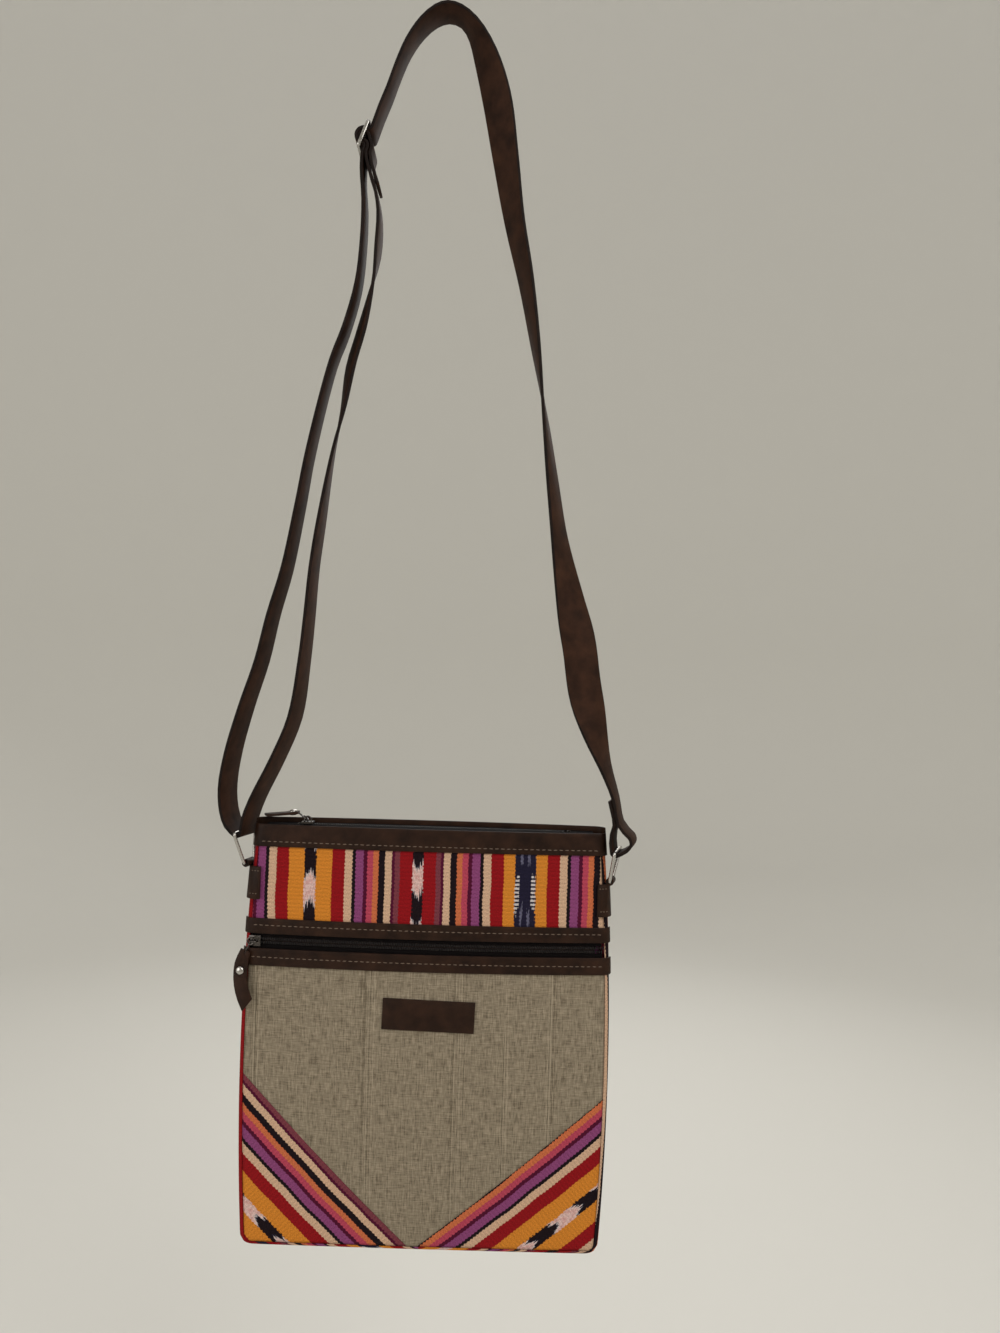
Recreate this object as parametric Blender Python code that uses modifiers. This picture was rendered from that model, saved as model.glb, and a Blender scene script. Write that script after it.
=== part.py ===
"""Flat zipped crossbody bag on a long leather strap, in metres, +Z up.

The world origin is where the strap hangs: the middle of its underside at the
highest point. The bag itself is laid out in its own frame, with the origin in
the middle of its bottom edge, X to the right and the front towards -Y.
"""
import math

import bmesh
import bpy
from mathutils import Matrix, Vector

# Bag body
BAG_HEIGHT = 0.252
HALF_WIDTH_BOTTOM = 0.105
HALF_WIDTH_MIDDLE = 0.1083
HALF_WIDTH_TOP = 0.1015
CORNER_RADIUS = 0.006
EDGE_RADIUS = 0.004
FULLEST_HEIGHT = 0.120
SIDE_DEPTH_BOTTOM = 0.0020
SIDE_DEPTH = 0.0034
BULGE_BOTTOM = 0.0006
BULGE_MIDDLE = 0.0060
BULGE_TOP = 0.0038
BOTTOM_FULLNESS = 2.2
LEVEL_COUNT = 16
LEVEL_CROWDING = 2.3
FACE_STATIONS = 12
EDGE_STATIONS = 3
SIDE_STEPS = 14

# Cloth, leather and clearances
GAP = 0.0003
CLOTH = 0.0009
LEATHER = 0.0009
LINING = 0.0005
RIM = 0.0024
SEAM_HEIGHT = 0.0018
SHARP_EDGE = 0.0003

# Top edge, measured down from the bag's height
TOP_ZIP_DROP = 0.0047
CLOTH_DROP = 0.0090
BAND_FOOT_DROP = 0.0175
BAND_FRONT_DROP = 0.0045
BAND_BACK_DROP = 0.0015
TOP_ZIP_HEIGHT = BAG_HEIGHT - TOP_ZIP_DROP
CLOTH_TOP = BAG_HEIGHT - CLOTH_DROP
BAND_BOTTOM = BAG_HEIGHT - BAND_FOOT_DROP
BAND_FRONT_TOP = BAG_HEIGHT - BAND_FRONT_DROP
BAND_BACK_TOP = BAG_HEIGHT - BAND_BACK_DROP

# Pocket zip, and what is set out from it
POCKET_ZIP_DROP = 0.0727
STRIP_CLEARANCE = 0.0043
STRIP_LOWER_WIDTH = 0.0100
STRIP_UPPER_WIDTH = 0.0089
LINEN_DROP = 0.0068
STRIPE_RISE = 0.0067
ZIP_HEIGHT = BAG_HEIGHT - POCKET_ZIP_DROP
LINEN_TOP = ZIP_HEIGHT - LINEN_DROP
STRIPE_BOTTOM = ZIP_HEIGHT + STRIPE_RISE
STRIP_LOWER_TOP = ZIP_HEIGHT - STRIP_CLEARANCE
STRIP_LOWER_BOTTOM = STRIP_LOWER_TOP - STRIP_LOWER_WIDTH
STRIP_UPPER_BOTTOM = ZIP_HEIGHT + STRIP_CLEARANCE
STRIP_UPPER_TOP = STRIP_UPPER_BOTTOM + STRIP_UPPER_WIDTH

# Seams and patch on the front
LEFT_SEAM_FOOT = (-0.005, 0.0)
LEFT_SEAM_HEAD = (-0.109, 0.1045)
RIGHT_SEAM_FOOT = (-0.003, 0.0)
RIGHT_SEAM_HEAD = (0.106, 0.092)
LABEL_DROP = 0.0393
LABEL_CENTRE = (0.0023, ZIP_HEIGHT - LABEL_DROP)
LABEL_SIZE = (0.0536, 0.018)
LABEL_TILT = math.radians(-1.4)

# Linings
POUCH_GAP = 0.0011
POUCH_INSET = 0.007
POUCH_BOTTOM = 0.030
POUCH_DROP = 0.0041
POUCH_FRONT_TOP = ZIP_HEIGHT - POUCH_DROP
POUCH_SHOULDER = 0.0965
LINING_INSET = 0.008
LINING_BOTTOM = 0.035

# Zips
TEETH_THICKNESS = 0.0015
TEETH_INNER = 0.00055
TEETH_OUTER = 0.0019
TAPE_THICKNESS = 0.0007
TOP_ZIP_RIGHT = 0.080
TOP_TAPE_END = 0.0955
POCKET_ZIP_HALF_LENGTH = 0.1028
POCKET_TAPE_INSET = 0.0042
STOP_LENGTH = 0.002
SLIDER_LENGTH = 0.007
SLIDER_HALF_WIDTH = 0.0031
SLIDER_PLATE = 0.0008
SLIDER_POST = 0.00025
SLIDER_LIP = 0.00035
ARCH_RADIUS = 0.0020
ARCH_WIRE = 0.00055
EYE_WIRE = 0.0005
TOP_SLIDER_X = -0.0725
POCKET_SLIDER_X = -0.1005

# Pulls
PULL_THICKNESS = 0.0014
PULL_HALF_WIDTH = 0.004
PULL_NECK = 0.0030
PULL_SLANT = 0.0018
PULL_HEM = 0.0055
PULL_STEPS = 8
LINK_LENGTH = 0.0075
POCKET_PULL_LENGTH = 0.0367
POCKET_PULL_SAG = 0.0051
POCKET_PULL_LEAN = math.radians(5.0)
POCKET_RIVET_AT = 0.0170
TOP_PULL_LENGTH = 0.0250
TOP_PULL_RISE = 0.0048
TOP_PULL_DROP = math.radians(6.0)
TOP_RIVET_AT = 0.0088
RIVET_SHAFT = 0.0009
RIVET_HEAD = 0.00245
RIVET_DOME = 0.0011
RIVET_PLATE = 0.0003
RIVET_SEGMENTS = 16

# Rings and tabs
WIRE = 0.0011
RING_YAW = math.radians(15.0)
RING_TILT = math.radians(11.0)
RING_HEIGHT = 0.0187
RING_CORNER = 0.0016
RING_FOOT = 0.0115
LEFT_PIVOT_DROP = 0.0278
RIGHT_PIVOT_DROP = 0.0325
LEFT_PIVOT_Z = BAG_HEIGHT - LEFT_PIVOT_DROP
RIGHT_PIVOT_Z = BAG_HEIGHT - RIGHT_PIVOT_DROP
TAB_WRAP = 0.0055
TAB_LENGTH = 0.0205
TAB_LOOP_LENGTH = 0.0086

# Strap and adjuster, with heights measured from the bag's top
STRAP_WIDTH = 0.020
STRAP_THICKNESS = 0.0018
STRAP_STEP = 0.007
STRAP_TURN = math.radians(18.0)
SEWN_GAP = 0.0005
APEX = (-0.0037, 0.4757)
ADJUSTER_CENTRE = (-0.0502, 0.3972)
ADJUSTER_TILT = math.radians(20.0)
ADJUSTER_BAR = 0.0020
ADJUSTER_SLOT = 0.00535
ADJUSTER_CORNER = 0.0015
YAW_FADES_FROM = 0.010
YAW_FADES_TO = 0.038

# Route of the strap: X, height above the bag's top, and heading of its width in degrees from +Y to +X
RIGHT_LIMB = [
    (0.1112, 0.0020, 15), (0.1082, 0.0160, 15), (0.1014, 0.0350, 25), (0.0950, 0.0540, 50),
    (0.0882, 0.0790, 88), (0.0841, 0.1050, 92), (0.0784, 0.1300, 60), (0.0708, 0.1670, 31),
    (0.0650, 0.2050, 20), (0.0604, 0.2370, 10), (0.0533, 0.2810, -9), (0.0465, 0.3190, -20),
    (0.0386, 0.3545, -30), (0.0325, 0.3900, -43), (0.0262, 0.4250, -52), (0.0190, 0.4490, -38),
    (0.0110, 0.4660, -16), (0.0040, 0.4735, -3),
]
LEFT_LIMB = [
    (-0.0110, 0.4732, 0), (-0.0190, 0.4660, 0), (-0.0268, 0.4540, 0), (-0.0325, 0.4400, 0),
    (-0.0372, 0.4260, 0), (-0.0415, 0.4148, 0),
]
OUTER_STRAND = [
    (-0.0512, 0.3780, 0), (-0.0497, 0.3600, 0), (-0.0499, 0.3370, 0), (-0.0522, 0.3120, 0),
    (-0.0588, 0.2860, 0), (-0.0655, 0.2670, 0), (-0.0772, 0.2150, 2), (-0.0824, 0.1830, 4),
    (-0.0892, 0.1450, 6), (-0.0964, 0.1180, 8), (-0.1023, 0.0910, 10), (-0.1107, 0.0635, 12),
    (-0.1178, 0.0360, 14), (-0.1212, 0.0160, 15), (-0.1202, 0.0020, 15), (-0.1168, -0.0065, 15),
]
INNER_STRAND = [
    (-0.1066, -0.0020, 15), (-0.1022, 0.0100, 15), (-0.0915, 0.0330, 14), (-0.0820, 0.0580, 12),
    (-0.0775, 0.0910, 8), (-0.0752, 0.1185, 6), (-0.0733, 0.1460, 4), (-0.0700, 0.1730, 2),
    (-0.0640, 0.2150, -8), (-0.0588, 0.2410, -16), (-0.0550, 0.2670, -24), (-0.0500, 0.2860, -24),
    (-0.0446, 0.3120, -14), (-0.0414, 0.3335, 0), (-0.0408, 0.3540, 0), (-0.0436, 0.3690, 0),
    (-0.0474, 0.3800, 0),
]
RIGHT_LOOP_BULGE = [(0.0042, 0.0118), (0.0076, 0.0086), (0.0086, 0.0050), (0.0062, 0.0010)]
RIGHT_LOOP_INSIDE = [(-0.0029, 0.0050), (-0.0026, 0.0100)]

# Colours: base colour, roughness, metallic
FINISHES = {
    "striped_cloth": ((0.30, 0.05, 0.04), 0.9, 0.0),
    "linen": ((0.17, 0.135, 0.085), 0.95, 0.0),
    "leather": ((0.022, 0.012, 0.008), 0.55, 0.0),
    "strap_leather": ((0.030, 0.017, 0.011), 0.5, 0.0),
    "lining_cloth": ((0.05, 0.035, 0.03), 0.9, 0.0),
    "zip_cloth": ((0.012, 0.010, 0.010), 0.9, 0.0),
    "zip_teeth": ((0.02, 0.018, 0.018), 0.5, 0.0),
    "metal": ((0.60, 0.59, 0.57), 0.25, 1.0),
}

# Worked out from the sizes above
STRAP_HALF = STRAP_THICKNESS / 2
BAG_ORIGIN = Vector((-APEX[0], 0.0, STRAP_HALF - APEX[1] - BAG_HEIGHT))
WIRE_TO_STRAP = WIRE + GAP + STRAP_HALF
TAPE_MIDDLE = TAPE_THICKNESS / 2 - CLOTH
SLIDER_INSIDE = TEETH_THICKNESS / 2 + GAP
SLIDER_OUTSIDE = SLIDER_INSIDE + SLIDER_PLATE
EYE_HEIGHT = SLIDER_OUTSIDE + EYE_WIRE + GAP
POUCH_FRONT = -CLOTH - GAP
POUCH_BACK = POUCH_FRONT - 2 * LINING - POUCH_GAP
TOP_ZIP_LEFT = TOP_SLIDER_X - SLIDER_LENGTH / 2
FAR = 0.05


def clear_scene():
    for obj in list(bpy.data.objects):
        bpy.data.objects.remove(obj, do_unlink=True)


def new_collection(name):
    collection = bpy.data.collections.new(name)
    bpy.context.scene.collection.children.link(collection)
    return collection


def make_material(name):
    existing = bpy.data.materials.get(name)
    if existing:
        return existing
    colour, roughness, metallic = FINISHES[name]
    material = bpy.data.materials.new(name)
    material.use_nodes = True
    shader = material.node_tree.nodes["Principled BSDF"]
    shader.inputs["Base Color"].default_value = (*colour, 1.0)
    shader.inputs["Roughness"].default_value = roughness
    shader.inputs["Metallic"].default_value = metallic
    return material


class Bench:
    """The collections that hold the parts and the cutters, and the frame that carries the bag."""

    def __init__(self):
        self.parts = new_collection("crossbody_bag")
        self.cutters = new_collection("cutters")
        self.bag = self.empty("bag_frame", Matrix.Translation(BAG_ORIGIN))

    def empty(self, name, place, parent=None):
        frame = bpy.data.objects.new(name, None)
        frame.parent = parent
        frame.matrix_local = place
        self.parts.objects.link(frame)
        return frame

    def part(self, name, mesh, finish, parent, place=Matrix()):
        obj = bpy.data.objects.new(name, mesh)
        obj.parent = parent
        obj.matrix_local = place
        mesh.materials.append(make_material(finish))
        self.parts.objects.link(obj)
        return obj

    def cutter(self, name, mesh, parent, place=Matrix()):
        obj = bpy.data.objects.new(name, mesh)
        obj.parent = parent
        obj.matrix_local = place
        obj.hide_render = True
        obj.display_type = "WIRE"
        self.cutters.objects.link(obj)
        return obj


def cut(obj, cutter, operation="DIFFERENCE"):
    modifier = obj.modifiers.new(cutter.name, "BOOLEAN")
    modifier.operation = operation
    modifier.solver = "EXACT"
    modifier.object = cutter
    return obj


def mesh_from(bm, name):
    bmesh.ops.recalc_face_normals(bm, faces=bm.faces)
    mesh = bpy.data.meshes.new(name)
    bm.to_mesh(mesh)
    bm.free()
    return mesh


def smooth(mesh):
    mesh.shade_smooth()
    mesh.set_sharp_from_angle(angle=math.radians(40.0))
    return mesh


# Form of the bag

def fullness(height):
    """Two shares: from the bottom seam to the fullest height, and from there to the top."""
    if height < FULLEST_HEIGHT:
        rise = 1.0 - max(height, 0.0) / FULLEST_HEIGHT
        return 1.0 - rise ** BOTTOM_FULLNESS, 0.0
    share = (height - FULLEST_HEIGHT) / (BAG_HEIGHT - FULLEST_HEIGHT)
    return 1.0, 0.5 - 0.5 * math.cos(math.pi * min(share, 1.0))


def half_width(height):
    """A shallow curve through the three half widths, rounded at the bottom corners."""
    share = height / BAG_HEIGHT
    middle = FULLEST_HEIGHT / BAG_HEIGHT
    width = HALF_WIDTH_BOTTOM * (share - middle) * (share - 1.0) / middle
    width += HALF_WIDTH_MIDDLE * share * (share - 1.0) / (middle * (middle - 1.0))
    width += HALF_WIDTH_TOP * share * (share - middle) / (1.0 - middle)
    if height < CORNER_RADIUS:
        reach = CORNER_RADIUS - max(height, 0.0)
        width -= CORNER_RADIUS - math.sqrt(CORNER_RADIUS ** 2 - reach ** 2)
    return width


def bulge(height):
    low, high = fullness(height)
    return BULGE_BOTTOM + (BULGE_MIDDLE - BULGE_BOTTOM) * low + (BULGE_TOP - BULGE_MIDDLE) * high


def half_depth(x, height):
    """Half of the bag's thickness, before its side edges are rounded."""
    low, _ = fullness(height)
    side = SIDE_DEPTH_BOTTOM + (SIDE_DEPTH - SIDE_DEPTH_BOTTOM) * low
    return side + bulge(height) * (1.0 - (x / half_width(height)) ** 2)


def front(offset):
    """A face that lies this far outside the front of the bag."""
    return lambda depth: -(depth + offset)


def back(offset):
    return lambda depth: depth + offset


def stations(width, radius):
    """X of the points across one face, each with its share of the thickness there."""
    flat = width - radius
    angles = [math.pi / 2 * k / EDGE_STATIONS for k in range(1, EDGE_STATIONS + 1)]
    edge = [(flat + radius * math.sin(a), math.cos(a)) for a in angles]
    middle = [(-flat + 2 * flat * k / FACE_STATIONS, 1.0) for k in range(FACE_STATIONS + 1)]
    return [(-x, share) for x, share in reversed(edge)] + middle + edge


def form(name, near, far, inset, bottom, top, radius=EDGE_RADIUS, levels=LEVEL_COUNT):
    """Closed solid between two faces that follow the bag, from one height to another."""
    bm = bmesh.new()
    bmesh.ops.create_circle(bm, segments=2 * (FACE_STATIONS + 2 * EDGE_STATIONS), radius=1.0)
    ring = list(bm.verts)
    edges = list(bm.edges)
    for level in range(levels):
        if level:
            made = bmesh.ops.extrude_edge_only(bm, edges=edges)["geom"]
            edges = [item for item in made if isinstance(item, bmesh.types.BMEdge)]
            ring = [item for item in made if isinstance(item, bmesh.types.BMVert)]
        height = bottom + (top - bottom) * (level / (levels - 1)) ** LEVEL_CROWDING
        across = stations(half_width(height) - inset, radius)
        outline = []
        for side, row in ((-1, across), (1, reversed(across[1:-1]))):
            for x, share in row:
                low, high = near(half_depth(x, height)), far(half_depth(x, height))
                outline.append((x, (low + high) / 2 + side * (high - low) / 2 * share))
        for vert, (x, y) in zip(ring, outline):
            vert.co = (x, y, height)
    bmesh.ops.holes_fill(bm, edges=[edge for edge in bm.edges if edge.is_boundary])
    return smooth(mesh_from(bm, name))


def extruded(name, outline, low, high):
    """Straight solid over an outline in X and Z, from one Y to another."""
    bm = bmesh.new()
    face = bm.faces.new([bm.verts.new((x, low, z)) for x, z in outline])
    made = bmesh.ops.extrude_face_region(bm, geom=[face])["geom"]
    far_side = [item for item in made if isinstance(item, bmesh.types.BMVert)]
    bmesh.ops.translate(bm, verts=far_side, vec=(0.0, high - low, 0.0))
    return mesh_from(bm, name)


def box(x0, x1, z0, z1):
    return [(x0, z0), (x1, z0), (x1, z1), (x0, z1)]


def rotated(outline, angle, centre):
    cos, sin = math.cos(angle), math.sin(angle)
    return [(centre[0] + a * cos - b * sin, centre[1] + a * sin + b * cos) for a, b in outline]


def tube(name, points, radius, cyclic):
    """Round wire along a path, as a closed mesh."""
    curve = bpy.data.curves.new(name, "CURVE")
    curve.dimensions = "3D"
    curve.bevel_depth = radius
    curve.bevel_resolution = 2
    curve.use_fill_caps = True
    spline = curve.splines.new("POLY")
    spline.points.add(len(points) - 1)
    for point, co in zip(spline.points, points):
        point.co = (*co, 1.0)
    spline.use_cyclic_u = cyclic
    return curve_mesh(curve)


def curve_mesh(curve):
    """Turns a curve into a welded mesh and removes the curve."""
    obj = bpy.data.objects.new(curve.name, curve)
    bpy.context.scene.collection.objects.link(obj)
    depsgraph = bpy.context.evaluated_depsgraph_get()
    mesh = bpy.data.meshes.new_from_object(obj.evaluated_get(depsgraph))
    bpy.data.objects.remove(obj, do_unlink=True)
    bm = bmesh.new()
    bm.from_mesh(mesh)
    bmesh.ops.remove_doubles(bm, verts=bm.verts, dist=1e-6)
    bmesh.ops.recalc_face_normals(bm, faces=bm.faces)
    bm.to_mesh(mesh)
    bm.free()
    return smooth(mesh)


def rounded(corners, radius, steps=3):
    """Closed path through corners in the plane, each turned into an arc."""
    path = []
    for k, corner in enumerate(corners):
        corner = Vector(corner)
        before = (Vector(corners[k - 1]) - corner).normalized()
        after = (Vector(corners[(k + 1) % len(corners)]) - corner).normalized()
        half = before.angle(after) / 2
        centre = corner + (before + after).normalized() * radius / math.sin(half)
        start = corner + before * radius / math.tan(half) - centre
        end = corner + after * radius / math.tan(half) - centre
        turn = start.angle_signed(end)
        for step in range(steps + 1):
            arm = start.copy()
            arm.rotate(Matrix.Rotation(-turn * step / steps, 2))
            path.append(centre + arm)
    return path


# Cloth and leather of the bag

def seam_side(foot, head, shift):
    """Outline of everything beyond a slanting seam, towards its bottom corner."""
    foot, head = Vector(foot), Vector(head)
    along = (head - foot).normalized()
    away = Vector((along.y, -along.x)) if head.x > foot.x else Vector((-along.y, along.x))
    low = foot - along * FAR + away * shift
    high = head + along * FAR + away * shift
    return [low, high, high + away * 4 * FAR, low + away * 4 * FAR]


def window_outline(inset):
    """Outline of the front inside the rim that the back cloth makes."""
    heights = [SEAM_HEIGHT + (CLOTH_TOP + FAR - SEAM_HEIGHT) * (k / SIDE_STEPS) ** 2 for k in range(SIDE_STEPS + 1)]
    right = [(half_width(height) - inset, height) for height in heights]
    return right + [(-x, height) for x, height in reversed(right)]


def make_cloth(bench):
    bag = bench.bag
    shell = form("back_panel", front(0), back(0), 0.0, 0.0, CLOTH_TOP)
    inside = form("cloth_inside", front(-CLOTH), back(-CLOTH), CLOTH, CLOTH, CLOTH_TOP + FAR / 10,
                  EDGE_RADIUS - CLOTH)
    window = extruded("front_window", window_outline(RIM), -FAR, -GAP)
    back_panel = bench.part("back_panel", shell, "striped_cloth", bag)
    cut(back_panel, bench.cutter("cloth_inside", inside, bag))
    cut(back_panel, bench.cutter("front_window", window, bag))

    def sheet(name, bottom, top):
        return form(name, front(0), front(-CLOTH), RIM + GAP, bottom, top, SHARP_EDGE)

    low = SEAM_HEIGHT + GAP
    bench.part("front_stripe_panel", sheet("front_stripe_panel", STRIPE_BOTTOM, CLOTH_TOP), "striped_cloth", bag)
    linen = bench.part("linen_panel", sheet("linen_panel", low, LINEN_TOP), "linen", bag)
    seams = {"left": (LEFT_SEAM_FOOT, LEFT_SEAM_HEAD), "right": (RIGHT_SEAM_FOOT, RIGHT_SEAM_HEAD)}
    for side, (foot, head) in seams.items():
        name = f"corner_patch_{side}"
        patch = bench.part(name, sheet(name, low, LINEN_TOP - GAP), "striped_cloth", bag)
        kept = extruded(f"patch_side_{side}", seam_side(foot, head, GAP / 2), -FAR, FAR)
        cleared = extruded(f"linen_side_{side}", seam_side(foot, head, -GAP / 2), -FAR, FAR)
        cut(patch, bench.cutter(f"patch_side_{side}", kept, bag), "INTERSECT")
        cut(linen, bench.cutter(f"linen_side_{side}", cleared, bag))


def wrap(bench, name, bottom, top, thickness, region):
    """Leather that goes round the cloth, kept inside one region."""
    out = GAP + thickness
    outer = form(name, front(out), back(out), -out, bottom, top, EDGE_RADIUS + out, 4)
    inner = form(f"{name}_inside", front(GAP), back(GAP), -GAP, bottom - GAP, top + GAP, EDGE_RADIUS + GAP, 4)
    piece = bench.part(name, outer, "leather", bench.bag)
    cut(piece, bench.cutter(f"{name}_inside", inner, bench.bag))
    return cut(piece, region, "INTERSECT")


def make_leather(bench):
    wide = box(-4 * FAR, 4 * FAR, -FAR, BAG_HEIGHT + FAR)
    front_half = bench.cutter("front_half", extruded("front_half", wide, -FAR, -GAP / 2), bench.bag)
    back_half = bench.cutter("back_half", extruded("back_half", wide, GAP / 2, FAR), bench.bag)
    wrap(bench, "top_band_front", BAND_BOTTOM, BAND_FRONT_TOP, LEATHER, front_half)
    wrap(bench, "top_band_back", BAND_BOTTOM, BAND_BACK_TOP, LEATHER, back_half)
    wrap(bench, "pocket_strip_upper", STRIP_UPPER_BOTTOM, STRIP_UPPER_TOP, LEATHER, front_half)
    wrap(bench, "pocket_strip_lower", STRIP_LOWER_BOTTOM, STRIP_LOWER_TOP, LEATHER, front_half)

    width, height = LABEL_SIZE
    reach = LABEL_CENTRE[1] - height, LABEL_CENTRE[1] + height
    sheet = form("label_patch", front(GAP + LEATHER), front(GAP), POUCH_INSET, *reach, SHARP_EDGE, 6)
    outline = rotated(box(-width / 2, width / 2, -height / 2, height / 2), LABEL_TILT, LABEL_CENTRE)
    label = bench.part("label_patch", sheet, "leather", bench.bag)
    cut(label, bench.cutter("label_outline", extruded("label_outline", outline, -FAR, 0), bench.bag), "INTERSECT")


def make_linings(bench):
    bag = bench.bag
    outer = form("pocket_lining", front(POUCH_FRONT), front(POUCH_BACK), POUCH_INSET, POUCH_BOTTOM,
                 STRIPE_BOTTOM, SHARP_EDGE)
    inner = form("pouch_inside", front(POUCH_FRONT - LINING), front(POUCH_BACK + LINING),
                 POUCH_INSET + LINING, POUCH_BOTTOM + LINING, STRIPE_BOTTOM + GAP, SHARP_EDGE)
    mouth = form("pouch_mouth", front(CLOTH), front(POUCH_FRONT - LINING - POUCH_GAP / 2), POUCH_INSET - CLOTH,
                 POUCH_FRONT_TOP, STRIPE_BOTTOM + GAP, SHARP_EDGE, 4)
    pouch = bench.part("pocket_lining", outer, "lining_cloth", bag)
    cut(pouch, bench.cutter("pouch_inside", inner, bag))
    cut(pouch, bench.cutter("pouch_mouth", mouth, bag))
    for side, name in ((-1, "left"), (1, "right")):
        reach = sorted((side * POUCH_SHOULDER, side * (POUCH_SHOULDER + FAR)))
        shoulder = extruded(f"pouch_shoulder_{name}", box(*reach, POUCH_FRONT_TOP, STRIPE_BOTTOM + FAR), -FAR, FAR)
        cut(pouch, bench.cutter(f"pouch_shoulder_{name}", shoulder, bag))

    face = POUCH_BACK - GAP
    outer = form("main_lining", front(face), back(POUCH_FRONT), LINING_INSET, LINING_BOTTOM, CLOTH_TOP,
                 EDGE_RADIUS / 2)
    inner = form("lining_inside", front(face - LINING), back(POUCH_FRONT - LINING), LINING_INSET + LINING,
                 LINING_BOTTOM + LINING, CLOTH_TOP + GAP, EDGE_RADIUS / 2 - LINING)
    lining = bench.part("main_lining", outer, "lining_cloth", bag)
    cut(lining, bench.cutter("lining_inside", inner, bag))


# Zips and their pulls

def slider_mesh(name):
    """Slider across its own X, with the teeth running through it and its outside towards -Y."""
    wide, lip = SLIDER_HALF_WIDTH, TEETH_OUTER + GAP
    inside, outside = SLIDER_INSIDE, SLIDER_OUTSIDE
    quarter = [(SLIDER_POST, inside), (lip, inside), (lip, inside - SLIDER_LIP), (wide, inside - SLIDER_LIP),
               (wide, outside)]
    right = [(a, -b) for a, b in reversed(quarter)] + quarter
    outline = right + [(-a, -b) for a, b in right]
    body = extruded(name, outline, -SLIDER_LENGTH / 2, SLIDER_LENGTH / 2)
    body.transform(Matrix(((0, 1, 0, 0), (0, 0, -1, 0), (1, 0, 0, 0), (0, 0, 0, 1))))
    body.flip_normals()
    return body


def arch_mesh(name):
    """Bridge of a slider, a half ring that stands on its front plate."""
    foot = SLIDER_OUTSIDE - SLIDER_PLATE / 2
    turns = [math.pi * k / 8 for k in range(9)]
    ring = [(-ARCH_RADIUS * math.cos(t), 0.0, -EYE_HEIGHT - ARCH_RADIUS * math.sin(t)) for t in turns]
    path = [(-ARCH_RADIUS, 0.0, -foot)] + ring + [(ARCH_RADIUS, 0.0, -foot)]
    return tube(name, [(x, z, 0.0) for x, _, z in path], ARCH_WIRE, False)


def make_slider(bench, name, parent, place):
    slider = bench.part(name, slider_mesh(name), "metal", parent, place)
    arch = bench.cutter(f"{name}_arch", arch_mesh(f"{name}_arch"), parent, place)
    return cut(slider, arch, "UNION")


def make_link(bench, name, parent, place, length):
    """Eye and stem; the eye lies in its own XY plane and the stem runs along +X."""
    turns = [2 * math.pi * k / 16 for k in range(16)]
    eye = [(ARCH_RADIUS * math.cos(t), ARCH_RADIUS * math.sin(t), 0.0) for t in turns]
    link = bench.part(name, tube(name, eye, EYE_WIRE, True), "metal", parent, place)
    stem = tube(f"{name}_stem", [(ARCH_RADIUS, 0, 0), (length, 0, 0)], EYE_WIRE, False)
    return cut(link, bench.cutter(f"{name}_stem", stem, parent, place), "UNION")


def pull_line(length, sag, share):
    """Middle of a pull at a share of its length: it runs along +X and hangs through to one side."""
    return Vector((length * share, -4 * sag * share * (1.0 - share)))


def pull_outline(length, sag):
    """Outline of a leather pull, narrow at its hem and cut off on a slant at its end."""
    left, right = [], []
    for k in range(PULL_STEPS + 1):
        share = PULL_HEM / length + (1.0 - PULL_HEM / length) * k / PULL_STEPS
        centre = pull_line(length, sag, share)
        along = (pull_line(length, sag, share + GAP) - pull_line(length, sag, share - GAP)).normalized()
        half = PULL_HALF_WIDTH if k > 1 else PULL_NECK + (PULL_HALF_WIDTH - PULL_NECK) * k / 2
        across = Vector((-along.y, along.x)) * half
        slant = along * PULL_SLANT * (k == PULL_STEPS)
        left.append(centre + across - slant)
        right.append(centre - across + slant)
    return right + left[::-1]


def rivet_mesh(name):
    """Domed rivet along Z, with its head outwards and a thin plate behind the leather."""
    under = PULL_THICKNESS / 2 + GAP
    turns = [math.pi / 8 * k for k in range(5)]
    dome = [(RIVET_HEAD * math.cos(t), under + RIVET_DOME * math.sin(t)) for t in turns]
    plate = 2 * RIVET_SHAFT
    profile = [(0.0, -under - RIVET_PLATE), (plate, -under - RIVET_PLATE), (plate, -under),
               (RIVET_SHAFT, -under), (RIVET_SHAFT, under)] + dome
    bm = bmesh.new()
    verts = [bm.verts.new((r, 0.0, z)) for r, z in profile]
    edges = [bm.edges.new(pair) for pair in zip(verts, verts[1:])]
    bmesh.ops.spin(bm, geom=verts + edges, cent=(0, 0, 0), axis=(0, 0, 1), angle=2 * math.pi,
                   steps=RIVET_SEGMENTS, use_merge=True)
    bmesh.ops.remove_doubles(bm, verts=bm.verts, dist=1e-6)
    return smooth(mesh_from(bm, name))


def make_pull(bench, name, parent, place, length, sag, rivet_at):
    mesh = extruded(name, pull_outline(length, sag), -PULL_THICKNESS / 2, PULL_THICKNESS / 2)
    mesh.transform(Matrix(((1, 0, 0, 0), (0, 0, 1, 0), (0, -1, 0, 0), (0, 0, 0, 1))))
    pull = bench.part(name, mesh, "leather", parent, place)
    at = place @ Matrix.Translation(pull_line(length, sag, rivet_at / length).to_3d())
    bench.part(f"{name}_rivet", rivet_mesh(f"{name}_rivet"), "metal", parent, at)
    bm = bmesh.new()
    radius = RIVET_SHAFT + GAP
    bmesh.ops.create_cone(bm, cap_ends=True, segments=RIVET_SEGMENTS, radius1=radius, radius2=radius,
                          depth=2 * PULL_THICKNESS)
    hole = mesh_from(bm, f"{name}_hole")
    return cut(pull, bench.cutter(f"{name}_hole", hole, parent, at))


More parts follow.
